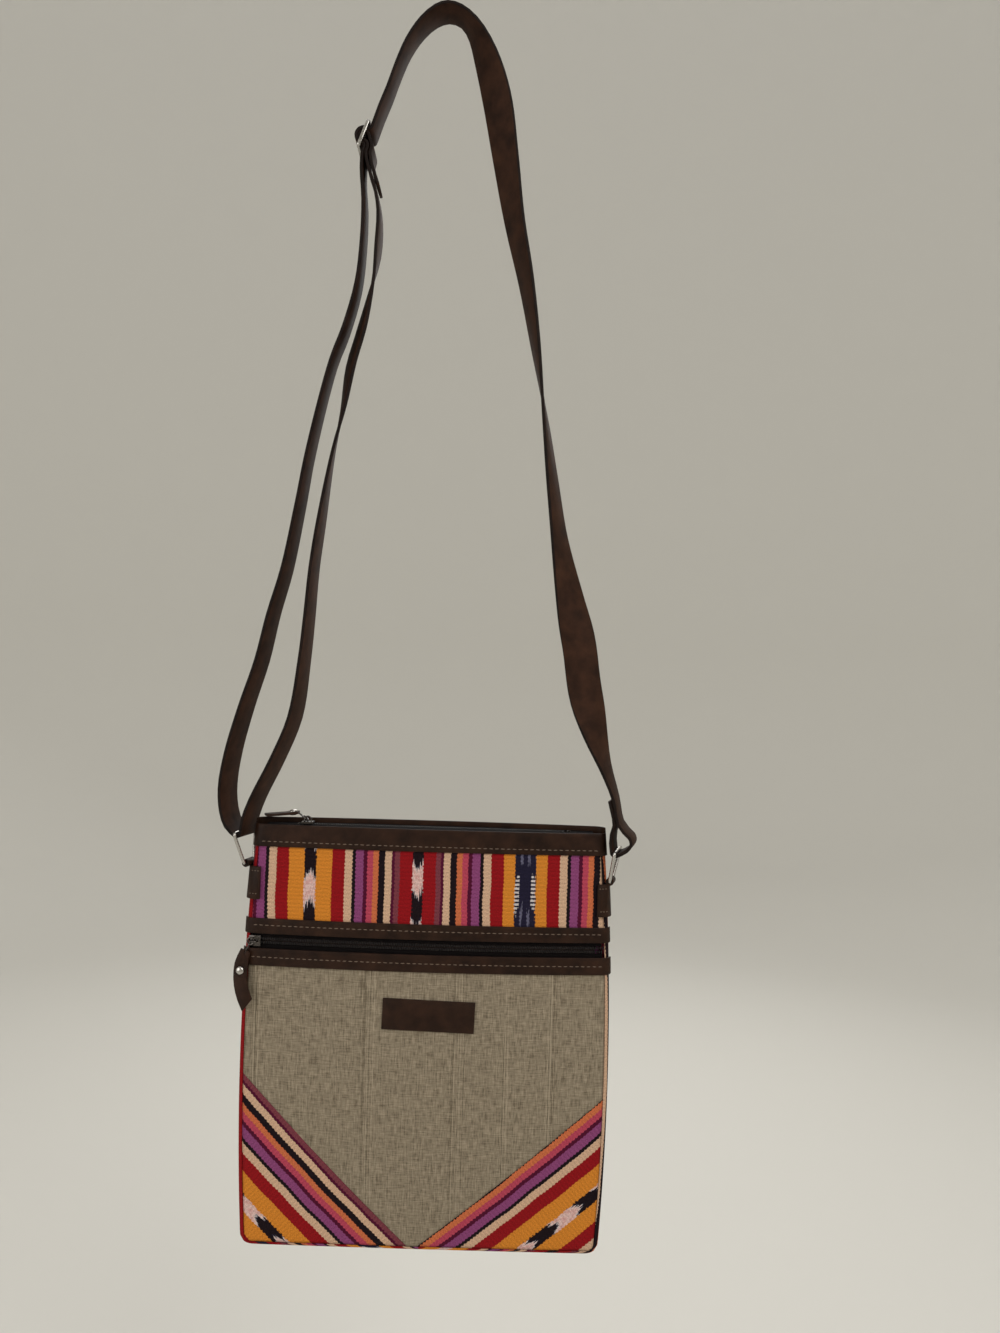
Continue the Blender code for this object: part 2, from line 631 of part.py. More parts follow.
def make_notch(bench, pull, parent, place, length):
    """Opens the end of a pull around the stem of its link."""
    name = f"{pull.name}_notch"
    notch = tube(name, [(ARCH_RADIUS, 0, 0), (length + GAP, 0, 0)], EYE_WIRE + GAP, False)
    return cut(pull, bench.cutter(name, notch, parent, place))


def facing(along, outward, origin):
    """Placement whose X runs along one direction and whose Z points outward."""
    x = Vector(along).normalized()
    y = Vector(outward).cross(x).normalized()
    z = x.cross(y)
    return Matrix.Translation(Vector(origin)) @ Matrix((x, y, z)).transposed().to_4x4()


def zip_arc():
    """Radius and centre of the pocket zip's arc, which follows the bag's front."""
    reach = POCKET_ZIP_HALF_LENGTH
    sag = bulge(ZIP_HEIGHT) * (reach / half_width(ZIP_HEIGHT)) ** 2
    radius = (reach ** 2 + sag ** 2) / (2 * sag)
    return radius, radius - half_depth(0.0, ZIP_HEIGHT) - TAPE_MIDDLE


def make_pocket_zip(bench):
    bag = bench.bag
    tape = front(TAPE_MIDDLE + TAPE_THICKNESS / 2), front(TAPE_MIDDLE - TAPE_THICKNESS / 2)
    teeth = front(TAPE_MIDDLE + TEETH_THICKNESS / 2), front(TAPE_MIDDLE - TEETH_THICKNESS / 2)
    inset = half_width(ZIP_HEIGHT) - POCKET_ZIP_HALF_LENGTH
    inner, outer = TEETH_INNER, TEETH_OUTER
    rows = {
        "pocket_tape_lower": (tape, POCKET_TAPE_INSET, LINEN_TOP + GAP, ZIP_HEIGHT - outer - GAP, "zip_cloth"),
        "pocket_tape_upper": (tape, POCKET_TAPE_INSET, ZIP_HEIGHT + outer + GAP, STRIPE_BOTTOM - GAP, "zip_cloth"),
        "pocket_teeth_lower": (teeth, inset, ZIP_HEIGHT - outer, ZIP_HEIGHT - inner, "zip_teeth"),
        "pocket_teeth_upper": (teeth, inset, ZIP_HEIGHT + inner, ZIP_HEIGHT + outer, "zip_teeth"),
    }
    for name, (faces, inset, bottom, top, finish) in rows.items():
        bench.part(name, form(name, *faces, inset, bottom, top, SHARP_EDGE, 2), finish, bag)

    radius, centre = zip_arc()
    turn = math.asin(POCKET_SLIDER_X / radius)
    at = Matrix.Translation((0.0, centre, ZIP_HEIGHT)) @ Matrix.Rotation(turn, 4, "Z")
    carriage = bench.empty("pocket_zip_centre", at, bag)
    on_arc = Matrix.Translation((0.0, -radius, 0.0))
    make_slider(bench, "pocket_slider", carriage, on_arc)

    pivot = on_arc @ Matrix.Translation((-ARCH_RADIUS, -EYE_HEIGHT, 0.0))
    hinge = bench.empty("pocket_pull_pivot", pivot, carriage)
    down = Vector((0.0, -math.sin(POCKET_PULL_LEAN), -math.cos(POCKET_PULL_LEAN)))
    flat = facing(down, (0, -1, 0), (0, 0, 0))
    pull = make_pull(bench, "pocket_pull", hinge, flat, POCKET_PULL_LENGTH, POCKET_PULL_SAG, POCKET_RIVET_AT)
    first = pull_line(POCKET_PULL_LENGTH, POCKET_PULL_SAG, LINK_LENGTH / POCKET_PULL_LENGTH)
    swayed = flat @ Matrix.Rotation(math.atan2(first.y, first.x), 4, "Z")
    make_link(bench, "pocket_pull_link", hinge, swayed, LINK_LENGTH)
    make_notch(bench, pull, hinge, swayed, LINK_LENGTH)


def make_top_zip(bench):
    bag = bench.bag
    low, high = TOP_ZIP_HEIGHT - TAPE_THICKNESS / 2, TOP_ZIP_HEIGHT + TAPE_THICKNESS / 2
    slot_reach = STOP_LENGTH + 2 * GAP
    slot = box(TOP_ZIP_LEFT - slot_reach, TOP_ZIP_RIGHT + slot_reach, low - FAR, high + FAR)
    slot_mesh = extruded("top_zip_slot", slot, -TEETH_OUTER - GAP, TEETH_OUTER + GAP)
    slot_cutter = bench.cutter("top_zip_slot", slot_mesh, bag)
    ends = box(-TOP_TAPE_END, TOP_TAPE_END, low - FAR, high + FAR)
    for name, near, far in (("front", -FAR, -GAP / 2), ("back", GAP / 2, FAR)):
        slab = form(f"top_tape_{name}", front(0), back(0), 0.0, low, high, levels=2)
        tape = bench.part(f"top_tape_{name}", slab, "zip_cloth", bag)
        half = bench.cutter(f"top_tape_side_{name}", extruded(f"top_tape_side_{name}", ends, near, far), bag)
        cut(tape, half, "INTERSECT")
        cut(tape, slot_cutter)
    thick = TEETH_THICKNESS / 2
    row = box(TOP_ZIP_LEFT, TOP_ZIP_RIGHT, TOP_ZIP_HEIGHT - thick, TOP_ZIP_HEIGHT + thick)
    bench.part("top_teeth_front", extruded("top_teeth_front", row, -TEETH_OUTER, -TEETH_INNER), "zip_teeth", bag)
    bench.part("top_teeth_back", extruded("top_teeth_back", row, TEETH_INNER, TEETH_OUTER), "zip_teeth", bag)
    for name, x in (("left", TOP_ZIP_LEFT - GAP - STOP_LENGTH), ("right", TOP_ZIP_RIGHT + GAP)):
        stop = box(x, x + STOP_LENGTH, TOP_ZIP_HEIGHT - thick, TOP_ZIP_HEIGHT + thick)
        mesh = extruded(f"top_stop_{name}", stop, -TEETH_OUTER, TEETH_OUTER)
        bench.part(f"top_stop_{name}", mesh, "metal", bag)

    upright = Matrix.Rotation(math.radians(-90.0), 4, "X")
    at = Matrix.Translation((TOP_SLIDER_X, 0.0, TOP_ZIP_HEIGHT))
    carriage = bench.empty("top_zip_carriage", at, bag)
    make_slider(bench, "top_slider", carriage, upright)
    hinge = bench.empty("top_pull_pivot", Matrix.Translation((0.0, 0.0, EYE_HEIGHT)), carriage)
    fall = Vector((-math.cos(TOP_PULL_DROP), 0.0, -math.sin(TOP_PULL_DROP)))
    start = Vector((0.0, 0.0, TOP_PULL_RISE))
    flat = facing(fall, (0, 0, 1), start)
    pull = make_pull(bench, "top_pull", hinge, flat, TOP_PULL_LENGTH, 0.0, TOP_RIVET_AT)
    rise = start + fall * (LINK_LENGTH - PULL_NECK / 2)
    raised = facing(rise, (0, 0, 1), rise.normalized() * ARCH_RADIUS)
    make_link(bench, "top_pull_link", hinge, raised, LINK_LENGTH - ARCH_RADIUS)
    make_notch(bench, pull, hinge, raised, LINK_LENGTH - ARCH_RADIUS)


# Rings, tabs, strap and adjuster

AXIS = Vector((math.sin(RING_YAW), math.cos(RING_YAW), 0.0))
SIDEWAYS = Vector((math.cos(RING_YAW), -math.sin(RING_YAW), 0.0))


def ring_pivot(side, height):
    reach = half_width(height) + GAP + LEATHER + GAP + WIRE
    return Vector((side * reach, 0.0, height))


def ring_up(side):
    return SIDEWAYS * side * math.sin(RING_TILT) + Vector((0.0, 0.0, math.cos(RING_TILT)))


BAG_TOP = Vector((0.0, 0.0, BAG_HEIGHT))
LEFT_BAR = ring_pivot(-1, LEFT_PIVOT_Z) + ring_up(-1) * RING_HEIGHT - BAG_TOP
RIGHT_BAR = ring_pivot(1, RIGHT_PIVOT_Z) + ring_up(1) * RING_HEIGHT - BAG_TOP


def make_ring(bench, name, side, height):
    """Wire ring with a short bar in its tab and a wide bar in the strap."""
    foot, wide = RING_FOOT / 2, STRAP_WIDTH / 2 + GAP + 1.5 * RING_CORNER
    corners = [(-foot, 0.0), (foot, 0.0), (wide, RING_HEIGHT), (-wide, RING_HEIGHT)]
    path = [(a, b, 0.0) for a, b in rounded(corners, RING_CORNER)]
    normal = AXIS.cross(ring_up(side))
    place = facing(AXIS, normal, ring_pivot(side, height))
    bench.part(name, tube(name, path, WIRE, True), "metal", bench.bag, place)


def make_tab(bench, name, side, height):
    """Leather tab: two plies round the bag's side, with a loop for the ring."""
    top = height - WIRE - 2 * GAP
    bottom = height - TAB_LENGTH
    edge = half_width(height) - TAB_WRAP
    region = box(*sorted((side * edge, side * (edge + FAR))), bottom - FAR, top + FAR)
    region = bench.cutter(f"{name}_region", extruded(f"{name}_region", region, -FAR, FAR), bench.bag)
    tab = wrap(bench, name, bottom, top, 2 * LEATHER, region)
    pivot = ring_pivot(side, height)
    for kind, radius, half, operation in (
            ("loop", WIRE + GAP + LEATHER, TAB_LOOP_LENGTH / 2, "UNION"),
            ("bore", WIRE + GAP, TAB_LOOP_LENGTH, "DIFFERENCE")):
        bm = bmesh.new()
        bmesh.ops.create_cone(bm, cap_ends=True, segments=20, radius1=radius, radius2=radius, depth=2 * half)
        mesh = smooth(mesh_from(bm, f"{name}_{kind}"))
        place = facing(SIDEWAYS, AXIS, pivot)
        cut(tab, bench.cutter(f"{name}_{kind}", mesh, bench.bag, place), operation)


def arc(centre, radius, start, end, steps):
    """Points on an arc, with angles in degrees."""
    angles = [math.radians(start + (end - start) * k / steps) for k in range(steps + 1)]
    return [(centre[0] + radius * math.cos(a), centre[1] + radius * math.sin(a)) for a in angles]


def on_adjuster(points):
    """Turns (across, along) of the adjuster into X, Z and heading."""
    return [(x, z, 0) for x, z in rotated(points, -ADJUSTER_TILT, ADJUSTER_CENTRE)]


def beside(route, gap):
    """Points of a route between its first and last, moved to its right by one layer."""
    moved = []
    for before, (x, z, heading), after in zip(route, route[1:], route[2:]):
        along = Vector((after[0] - before[0], after[1] - before[1])).normalized()
        shift = STRAP_THICKNESS + gap
        moved.append((x + along.y * shift, z - along.x * shift, heading))
    return moved


def strap_route():
    """The whole strap: sewn end, right ring, over the top, adjuster, left ring, adjuster, sewn end."""
    yaw = math.degrees(RING_YAW)
    reach = WIRE_TO_STRAP
    right_x, right_z = RIGHT_BAR.x, RIGHT_BAR.z
    inside = [(right_x + a, right_z + b, yaw) for a, b in reversed(RIGHT_LOOP_INSIDE)]
    under = [(x, z, yaw) for x, z in arc((right_x, right_z), reach, 180, 290, 5)]
    outside = [(right_x + a, right_z + b, yaw) for a, b in reversed(RIGHT_LOOP_BULGE)]
    short_end = beside(RIGHT_LIMB[2::-1] + outside[-1:], SEWN_GAP)
    apex = [(*APEX, 0)]

    turn = math.hypot(ADJUSTER_BAR, ADJUSTER_BAR) / 2 + GAP / 2 + STRAP_HALF
    layer = STRAP_THICKNESS + GAP
    corner = ADJUSTER_BAR + ADJUSTER_SLOT - ADJUSTER_BAR / 2 - GAP / 2
    small = corner - turn - layer
    weave = (arc((turn - small, corner), small, 0, -90, 4)
             + arc((0.0, 0.0), turn + layer, 90, 270, 10)[1:-1]
             + arc((turn - small, -corner), small, 90, 0, 4))
    past = corner + ADJUSTER_BAR + GAP
    over = [(turn, past)] + weave + [(turn, -past)]
    leg = turn + layer
    around = ([(leg, -past)] + arc((turn - small, -corner), small + layer, 0, 75, 5)
              + arc((0.0, 0.0), turn, 270, 90, 8)
              + [(turn * 0.75, turn * 0.82), (turn * 1.2, turn * 0.25)]
              + arc((turn - small, -corner), small + 2 * layer + SEWN_GAP / 2, 54, 0, 4)
              + [(leg + layer + SEWN_GAP, -past)])
    low_turn = [(x, z, yaw) for x, z in arc((LEFT_BAR.x, LEFT_BAR.z), reach, 245, 360, 6)]
    around = on_adjuster(around)
    sewn = beside(INNER_STRAND[-3:] + around[:1], SEWN_GAP)[::-1]
    return (short_end + inside + under + outside + RIGHT_LIMB + apex + LEFT_LIMB + on_adjuster(over)
            + OUTER_STRAND + low_turn + INNER_STRAND + around + sewn)


def sideways_shift(x, z):
    """Y of the strap: near a ring it follows the ring's turned plane, further up it fades to the middle."""
    bar = RIGHT_BAR if x > 0 else LEFT_BAR
    share = min(1.0, max(0.0, (YAW_FADES_TO - z) / (YAW_FADES_TO - YAW_FADES_FROM)))
    return share * (bar.y - (x - bar.x) * math.tan(RING_YAW))


def smooth_route(points):
    """Points along a smooth curve through the route, closer together in tight bends."""
    knots = [Vector((x, sideways_shift(x, z), z, math.radians(heading))) for x, z, heading in points]
    made = []
    for k in range(len(knots) - 1):
        p1, p2 = knots[k], knots[k + 1]
        p0 = knots[k - 1] if k else p1 * 2 - p2
        p3 = knots[k + 2] if k + 2 < len(knots) else p2 * 2 - p1
        d0, d1, d2 = [max(math.sqrt((b - a).xyz.length), 1e-4) for a, b in ((p0, p1), (p1, p2), (p2, p3))]
        m1 = p2 - p1 + d1 * ((p1 - p0) / d0 - (p2 - p0) / (d0 + d1))
        m2 = p2 - p1 + d1 * ((p3 - p2) / d2 - (p3 - p1) / (d1 + d2))
        turn = m1.xyz.angle(m2.xyz)
        count = max(1, math.ceil((p2 - p1).xyz.length / STRAP_STEP), math.ceil(turn / STRAP_TURN))
        for step in range(count):
            t = step / count
            a, b = 2 * t ** 3 - 3 * t ** 2, t ** 3 - t ** 2
            made.append(p1 * (a + 1) - p2 * a + m1 * (b - t ** 2 + t) + m2 * b)
    return made + [knots[-1]]


def make_strap(bench):
    route = smooth_route(strap_route())
    bm = bmesh.new()
    bmesh.ops.create_grid(bm, x_segments=len(route) - 1, y_segments=1, size=1.0)
    bm.verts.ensure_lookup_table()
    rows = sorted(bm.verts, key=lambda vert: (round(vert.co.y), vert.co.x))
    for k, point in enumerate(route):
        before, after = route[max(k - 1, 0)], route[min(k + 1, len(route) - 1)]
        along = (after - before).xyz.normalized()
        across = Vector((math.sin(point.w), math.cos(point.w), 0.0))
        across = (across - along * across.dot(along)).normalized() * STRAP_WIDTH / 2
        rows[k].co = point.xyz - across
        rows[k + len(route)].co = point.xyz + across
    place = Matrix.Translation(BAG_TOP)
    strap = bench.part("strap", smooth(mesh_from(bm, "strap")), "strap_leather", bench.bag, place)
    wall = strap.modifiers.new("thickness", "SOLIDIFY")
    wall.thickness = STRAP_THICKNESS
    wall.offset = 0.0
    wall.use_even_offset = True


def make_adjuster(bench):
    """Flat frame with three bars and two slots."""
    half_slot = STRAP_WIDTH / 2 + 2 * GAP
    wide = half_slot + ADJUSTER_BAR
    tall = ADJUSTER_SLOT + ADJUSTER_BAR * 1.5
    outlines = [rounded([(-wide, -tall), (wide, -tall), (wide, tall), (-wide, tall)], ADJUSTER_CORNER)]
    for low in (-ADJUSTER_SLOT - ADJUSTER_BAR / 2, ADJUSTER_BAR / 2):
        high = low + ADJUSTER_SLOT
        outlines.append([(-half_slot, low), (half_slot, low), (half_slot, high), (-half_slot, high)])
    curve = bpy.data.curves.new("strap_adjuster", "CURVE")
    curve.dimensions = "2D"
    curve.fill_mode = "BOTH"
    curve.extrude = ADJUSTER_BAR / 2
    for outline in outlines:
        spline = curve.splines.new("POLY")
        spline.points.add(len(outline) - 1)
        for point, co in zip(spline.points, outline):
            point.co = (co[0], co[1], 0.0, 1.0)
        spline.use_cyclic_u = True
    x, z = ADJUSTER_CENTRE
    face = (math.cos(ADJUSTER_TILT), 0.0, -math.sin(ADJUSTER_TILT))
    place = facing((0, 1, 0), face, BAG_TOP + Vector((x, 0.0, z)))
    bench.part("strap_adjuster", curve_mesh(curve), "metal", bench.bag, place)


def main():
    clear_scene()
    bench = Bench()
    make_cloth(bench)
    make_leather(bench)
    make_linings(bench)
    make_pocket_zip(bench)
    make_top_zip(bench)
    for side, name, height in ((-1, "left", LEFT_PIVOT_Z), (1, "right", RIGHT_PIVOT_Z)):
        make_tab(bench, f"tab_{name}", side, height)
        make_ring(bench, f"ring_{name}", side, height)
    make_strap(bench)
    make_adjuster(bench)


main()
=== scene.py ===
"""Looks of the zipped crossbody bag: its cloth, leather, zips, metal and stitching, and a plain studio."""

import math

import bmesh
import bpy
from mathutils import Matrix, Vector, noise


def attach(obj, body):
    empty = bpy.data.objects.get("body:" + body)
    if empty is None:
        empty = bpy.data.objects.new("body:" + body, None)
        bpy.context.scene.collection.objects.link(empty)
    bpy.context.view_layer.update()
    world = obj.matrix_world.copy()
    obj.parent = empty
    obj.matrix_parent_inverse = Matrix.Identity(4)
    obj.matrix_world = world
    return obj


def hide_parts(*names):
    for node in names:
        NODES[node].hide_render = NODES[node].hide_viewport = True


bl_info = {
    "name": "Crossbody Bag Looks",
    "version": (1, 0, 0),
    "blender": (4, 5, 0),
    "location": "View3D > Sidebar > Bag",
    "description": "Dresses the crossbody bag in cloth, leather and metal",
    "category": "Object",
}

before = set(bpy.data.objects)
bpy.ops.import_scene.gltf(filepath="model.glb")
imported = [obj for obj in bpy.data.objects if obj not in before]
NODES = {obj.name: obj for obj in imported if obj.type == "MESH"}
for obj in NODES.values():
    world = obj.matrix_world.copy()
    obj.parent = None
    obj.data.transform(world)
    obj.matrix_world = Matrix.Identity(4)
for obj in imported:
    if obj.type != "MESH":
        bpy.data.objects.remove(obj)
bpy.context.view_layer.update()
CLOTH_MAP = "cloth"

# The bag's own frame: its origin is the middle of its bottom edge
BAG = Vector((0.0037, 0.0, -0.7268))
BAG_HEIGHT = 0.252

# Half widths at the bottom, at the fullest height and at the top, and the rounding of corners and side edges
HALF_WIDTHS = (0.105, 0.1083, 0.1015)
FULLEST_HEIGHT = 0.120
CORNER_RADIUS = 0.006
EDGE_RADIUS = 0.004
QUARTER_TURN = EDGE_RADIUS * math.pi / 2

# Half of the thickness at the sides, low down and above, and how much the middle bulges beyond it at the
# bottom, at the fullest height and at the top
SIDE_DEPTHS = (0.0020, 0.0034)
BULGES = (0.0006, 0.0060, 0.0038)
BOTTOM_FULLNESS = 2.2

# Rim of the back cloth that shows in front, width of a seam, and height of the front's lowest seam
RIM = 0.0024
SEAM = 0.0003
SEAM_HEIGHT = 0.0018

# Heights on the front, and the slanting seams of the corner patches from foot to head
LINEN_TOP = 0.1725
STRIP_LOWER = (0.165, 0.175)
STRIP_UPPER = (0.1836, 0.1925)
ZIP_HEIGHT = 0.1793
STRIPE_BOTTOM = 0.186
CLOTH_TOP = 0.243
BAND_BOTTOM = 0.2345
BAND_TOPS = {"front": 0.2475, "back": 0.2505}
LEFT_SEAM = ((-0.005, 0.0), (-0.109, 0.1045))
RIGHT_SEAM = ((-0.003, 0.0), (0.106, 0.092))

# Side tabs, and how far leather stands out from the cloth
TAB_TOPS = {"left": 0.2224, "right": 0.2177}
TAB_BOTTOMS = {"left": 0.2037, "right": 0.1990}
TAB_WRAP = 0.0055
LEATHER_BACK = 0.0003
LEATHER_FACE = 0.0012
TAB_FACE = 0.0021

# Zips: TEETH_SINK is how far the pocket zip's teeth lie behind the cloth
POCKET_ZIP_HALF = 0.1026
TEETH_SINK = 0.00055
TEETH_ACROSS = (0.00035, 0.0019)
TEETH_THICKNESS = 0.0013
TOOTH_SHARE = 0.58
TOOTH_EDGE = 0.00018
POCKET_FIRST_TOOTH = 0.25
TOP_FIRST_TOOTH = 0.5

# A pocket tooth is turned as the front is a little nearer the middle, clear of the rounded sides
TOOTH_TURN = 0.98

# Top zip: its left and right ends, and its height
TOP_ZIP = (-0.0758, 0.0798)
TOP_ZIP_HEIGHT = 0.2473

# Mesh steps of cloth and leather, and the back cloth's columns and rows, with the rows of its lower fold and
# the share of its columns that forms the back and the sides
CLOTH_STEP = 0.0016
LEATHER_STEP = 0.0022
BACK_COLUMNS = 260
BACK_ROWS = 84
FOLD_ROWS = 7
RIM_COLUMNS = 0.8

# The fold under the back cloth's lower edge
FOLD_HEIGHT = 0.8 * SEAM_HEIGHT
FOLD_DEPTH = 0.0014

# Dips and puckers of the cloth: how far they reach from a seam, their noise steps per metre along and up,
# and their shares
DIP_REACH = 0.0009
GATHER_REACH = 0.009
SEAM_REACH = 0.004
LEATHER_FADE = 0.004
RIPPLE_STEPS = (42.0, 26.0)
GATHER_STEPS = (260.0, 30.0)
SEAM_STEPS = (190.0, 190.0)
RIPPLE_SHARE = 0.45
GATHER_SHARE = 0.55
SEAM_SHARE = 0.4

# Slow unevenness of the leather strips
STRIP_STEPS = (84.0, 26.0)
STRIP_RIPPLE = 0.00012

# Rounding of the copied pieces, and the angles from which an edge counts as one
TOUCHING = 1e-6
TAPE_EDGE = 0.0001
SLIDER_EDGE = 0.00012
EYE_EDGE = 0.00005
STRAP_EDGE = 0.00035
FLAT_ANGLE = math.radians(1.5)
SHADING_ANGLE = math.radians(42.0)
RIM_ANGLE = math.radians(50.0)
STRAP_ANGLE = math.radians(60.0)

# Faces of the strap whose longest side is shorter than this are its cut edges
LONGEST_CUT_FACE = 0.012

# Rows of stitches
BAND_STITCHES = 0.2375
UPPER_STITCHES = 0.1886
LOWER_STITCHES = 0.1700
TAB_STITCH_DROP = 0.0022
TAB_STITCH_RISE = 0.0032
TAB_STITCH_INSET = 0.0004
TAB_STITCH_HALF = 0.0019
TAB_STITCH_PITCH = 0.0014
STITCH_SLANT = 0.06
STITCH_LIFT = 0.00005

# Corner patches: cloth above the seam before it is cut, the area that each takes from the linen, and the
# stripe that lies along its seam, as a share of STRIPE_REACH
PATCH_SPARE = 0.004
PATCH_AREA = 0.00505
PATCH_STRIPES = {"left": 0.83, "right": 0.645}

# The stripes, each with its start as a share of STRIPE_REACH, from an ikat band's middle to the next one's
STRIPE_REACH = 0.0628
FIRST_IKAT = -0.0693
STRIPES = [
    (0.000, "orange"), (0.200, "red"), (0.318, "cream"), (0.387, "black"), (0.420, "mauve"),
    (0.495, "plum"), (0.530, "rose"), (0.583, "salmon"), (0.635, "black"), (0.695, "cream"),
    (0.757, "plum"), (0.785, "dusk"), (0.830, "red"),
]

# The ikat figures: half their length, height of their first middle, colours from middle to middle, and the
# half widths of their bands as shares of STRIPE_REACH
IKAT_REACH = 0.017
IKAT_PHASE = 0.1965
IKAT = [(0.0, "black"), (0.43, "navy"), (0.50, "white"), (0.55, "blush"), (0.72, "pink"), (0.86, "blush")]
IKAT_EDGE = 0.056
SECOND_EDGE = 0.098
MIDDLE_EDGE = 0.950
IKAT_TAPER = 0.10
IKAT_RAGGED = 0.03
FEATHER = 0.018

# Ribs across the stripes, whose relief is also painted into the colour: shade in the grooves, light on the
# crests
RIB_PITCH = 0.0023
RIB_RELIEF_AND_SHADE = 0.042

# The second band: where it starts, how far it is raised, its white beads at both flanks, and its grey lines
SECOND_START = 1.5 * STRIPE_REACH
SECOND_PHASE = 0.0058
FLANK_START = 0.055
BEAD_START = 0.43
BEAD_LEVEL = -0.2
BEAD_RAGGED = 2.4
LINE_PLACE = 0.033
LINE_HALF = 0.012
LINE_END = 0.25

# Striped cloth: noise steps per metre across and along, and how far threads and ribs stray
THREAD_NOISE = (2400.0, 300.0, 1.0)
WANDER_NOISE = (30.0, 45.0, 1.0)
FEATHER_NOISE = (1500.0, 18.0, 1.0)
WEAVE_NOISE = (2600.0, 1300.0, 1.0)
THREAD_STRAY = 0.0006
WANDER_STRAY = 0.0016
RIB_STRAY = 0.0002

# Linen: noise steps per metre, roughness and share of its yarns, cross yarns and clouds, and its thin lines
LINEN_LAYERS = [
    ((1300.0, 130.0, 1.0), 0.65, 0.48),
    ((150.0, 1400.0, 1.0), 0.65, 0.40),
    ((240.0, 150.0, 1.0), 0.60, 0.12),
]
LINE_GROUPS = (75.0, 0.4, 1.0)
LINE_STRANDS = (1250.0, 2.0, 1.0)
LINE_LEVEL = 0.60
LINE_STRENGTH = 0.42

# Leather, plain cloth, metal and thread: noise steps per metre
GRAIN_SCALE = 1400.0
LEATHER_CLOUDS = (90.0, 90.0, 90.0)
CLOTH_NOISE = (1500.0, 1500.0, 1500.0)
SCRATCHES = (500.0, 90.0, 900.0)
TOOTH_WEAR = (400.0, 400.0, 400.0)
THREAD_TWIST = (1800.0, 1800.0, 1800.0)

# Studio: a floor that curves up into a wall, lamps as place, size and power, and the camera
FLOOR = -1.1
COVE_START = 2.0
COVE_RADIUS = 0.8
COVE_STEPS = 8
WALL_TOP = 2.7
WALL_STEPS = 64
LAMPS = {
    "key_lamp": ((0.85, -1.25, 0.55), 1.0, 17.0),
    "fill_lamp": ((-1.2, -1.1, -0.2), 1.3, 9.0),
    "rear_lamp": ((0.2, 1.5, 0.5), 1.4, 13.0),
}
LAMP_TARGET = Vector((0.0, 0.0, -0.42))
ROOM_LIGHT = (1.0, 0.985, 0.96, 1.0)
ROOM_STRENGTH = 0.8
CAMERA_DISTANCE = 0.59
CAMERA_PLACE = BAG + Vector((0.0378, -CAMERA_DISTANCE, 0.3435))
CAMERA_HALF_VIEW = 0.3925
CAMERA_ROLL = 0.0297


def measure(name, description, default):
    return bpy.props.FloatProperty(name=name, description=description, default=default, unit="LENGTH")


def tint(name, description, default):
    return bpy.props.FloatVectorProperty(
        name=name, description=description, default=default, subtype="COLOR")


class BagSizes(bpy.types.PropertyGroup):
    """Sizes of the fine pieces."""

    cloth_thickness: measure("Cloth thickness", "Thickness of the outer cloth", 0.0006)
    leather_edge: measure("Leather edge", "Rounding of the cut leather edges", 0.00022)
    stitch_pitch: measure("Stitch pitch", "Distance from one stitch to the next", 0.0034)
    stitch_length: measure("Stitch length", "Length of thread that shows", 0.0024)
    thread: measure("Thread", "Thickness of the sewing thread", 0.0005)
    tooth_pitch: measure("Tooth pitch", "Distance from one zip tooth to the next", 0.0014)
    pucker: measure("Pucker", "Depth of the puckers along the seams", 0.0004)


class BagColours(bpy.types.PropertyGroup):
    """Colours of cloth, leather, metal and thread."""

    linen: tint("Linen", "Plain cloth", (0.290, 0.238, 0.168))
    linen_dark: tint("Linen shade", "Darker yarns of the linen", (0.112, 0.088, 0.058))
    leather: tint("Leather", "Bands, tabs and pulls", (0.0185, 0.0078, 0.0040))
    strap: tint("Strap", "Faces of the strap", (0.0270, 0.0110, 0.0055))
    strap_edge: tint("Strap edge", "Cut edges of the strap", (0.0075, 0.0035, 0.0022))
    thread: tint("Thread", "Sewing thread", (0.155, 0.105, 0.072))
    metal: tint("Metal", "Rings, strap slide and rivets", (0.44, 0.42, 0.39))
    dark_metal: tint("Dark metal", "Zip sliders and links", (0.085, 0.075, 0.068))
    zip_cloth: tint("Zip tape", "Cloth of the zips", (0.0040, 0.0030, 0.0030))
    lining: tint("Lining", "Inner bags", (0.05, 0.035, 0.03))
    orange: tint("Orange", "Orange stripes", (0.56, 0.195, 0.022))
    red: tint("Red", "Red stripes", (0.240, 0.0050, 0.0075))
    cream: tint("Cream", "Cream stripes", (0.54, 0.345, 0.225))
    black: tint("Black", "Black stripes", (0.0090, 0.0040, 0.0060))
    mauve: tint("Mauve", "Mauve stripes", (0.215, 0.050, 0.145))
    plum: tint("Plum", "Dark magenta stripes", (0.070, 0.004, 0.022))
    rose: tint("Rose", "Rose stripes", (0.40, 0.050, 0.085))
    salmon: tint("Salmon", "Salmon stripes", (0.50, 0.130, 0.050))
    dusk: tint("Dusk", "Dusty mauve stripes", (0.160, 0.036, 0.048))
    navy: tint("Navy", "Blue black of the ikat", (0.012, 0.010, 0.026))
    steel: tint("Steel", "Blue grey lines of the ikat", (0.105, 0.100, 0.150))
    white: tint("White", "White flecks of the ikat", (0.50, 0.45, 0.44))
    pink: tint("Pink", "Pink of the ikat", (0.56, 0.31, 0.28))
    blush: tint("Blush", "Pale pink of the ikat", (0.62, 0.42, 0.38))
    backdrop: tint("Backdrop", "Floor and backdrop", (0.66, 0.645, 0.60))


def sizes():
    return bpy.context.scene.bag_sizes


def colour(name):
    return (*getattr(bpy.context.scene.bag_colours, name), 1.0)


# Form of the bag

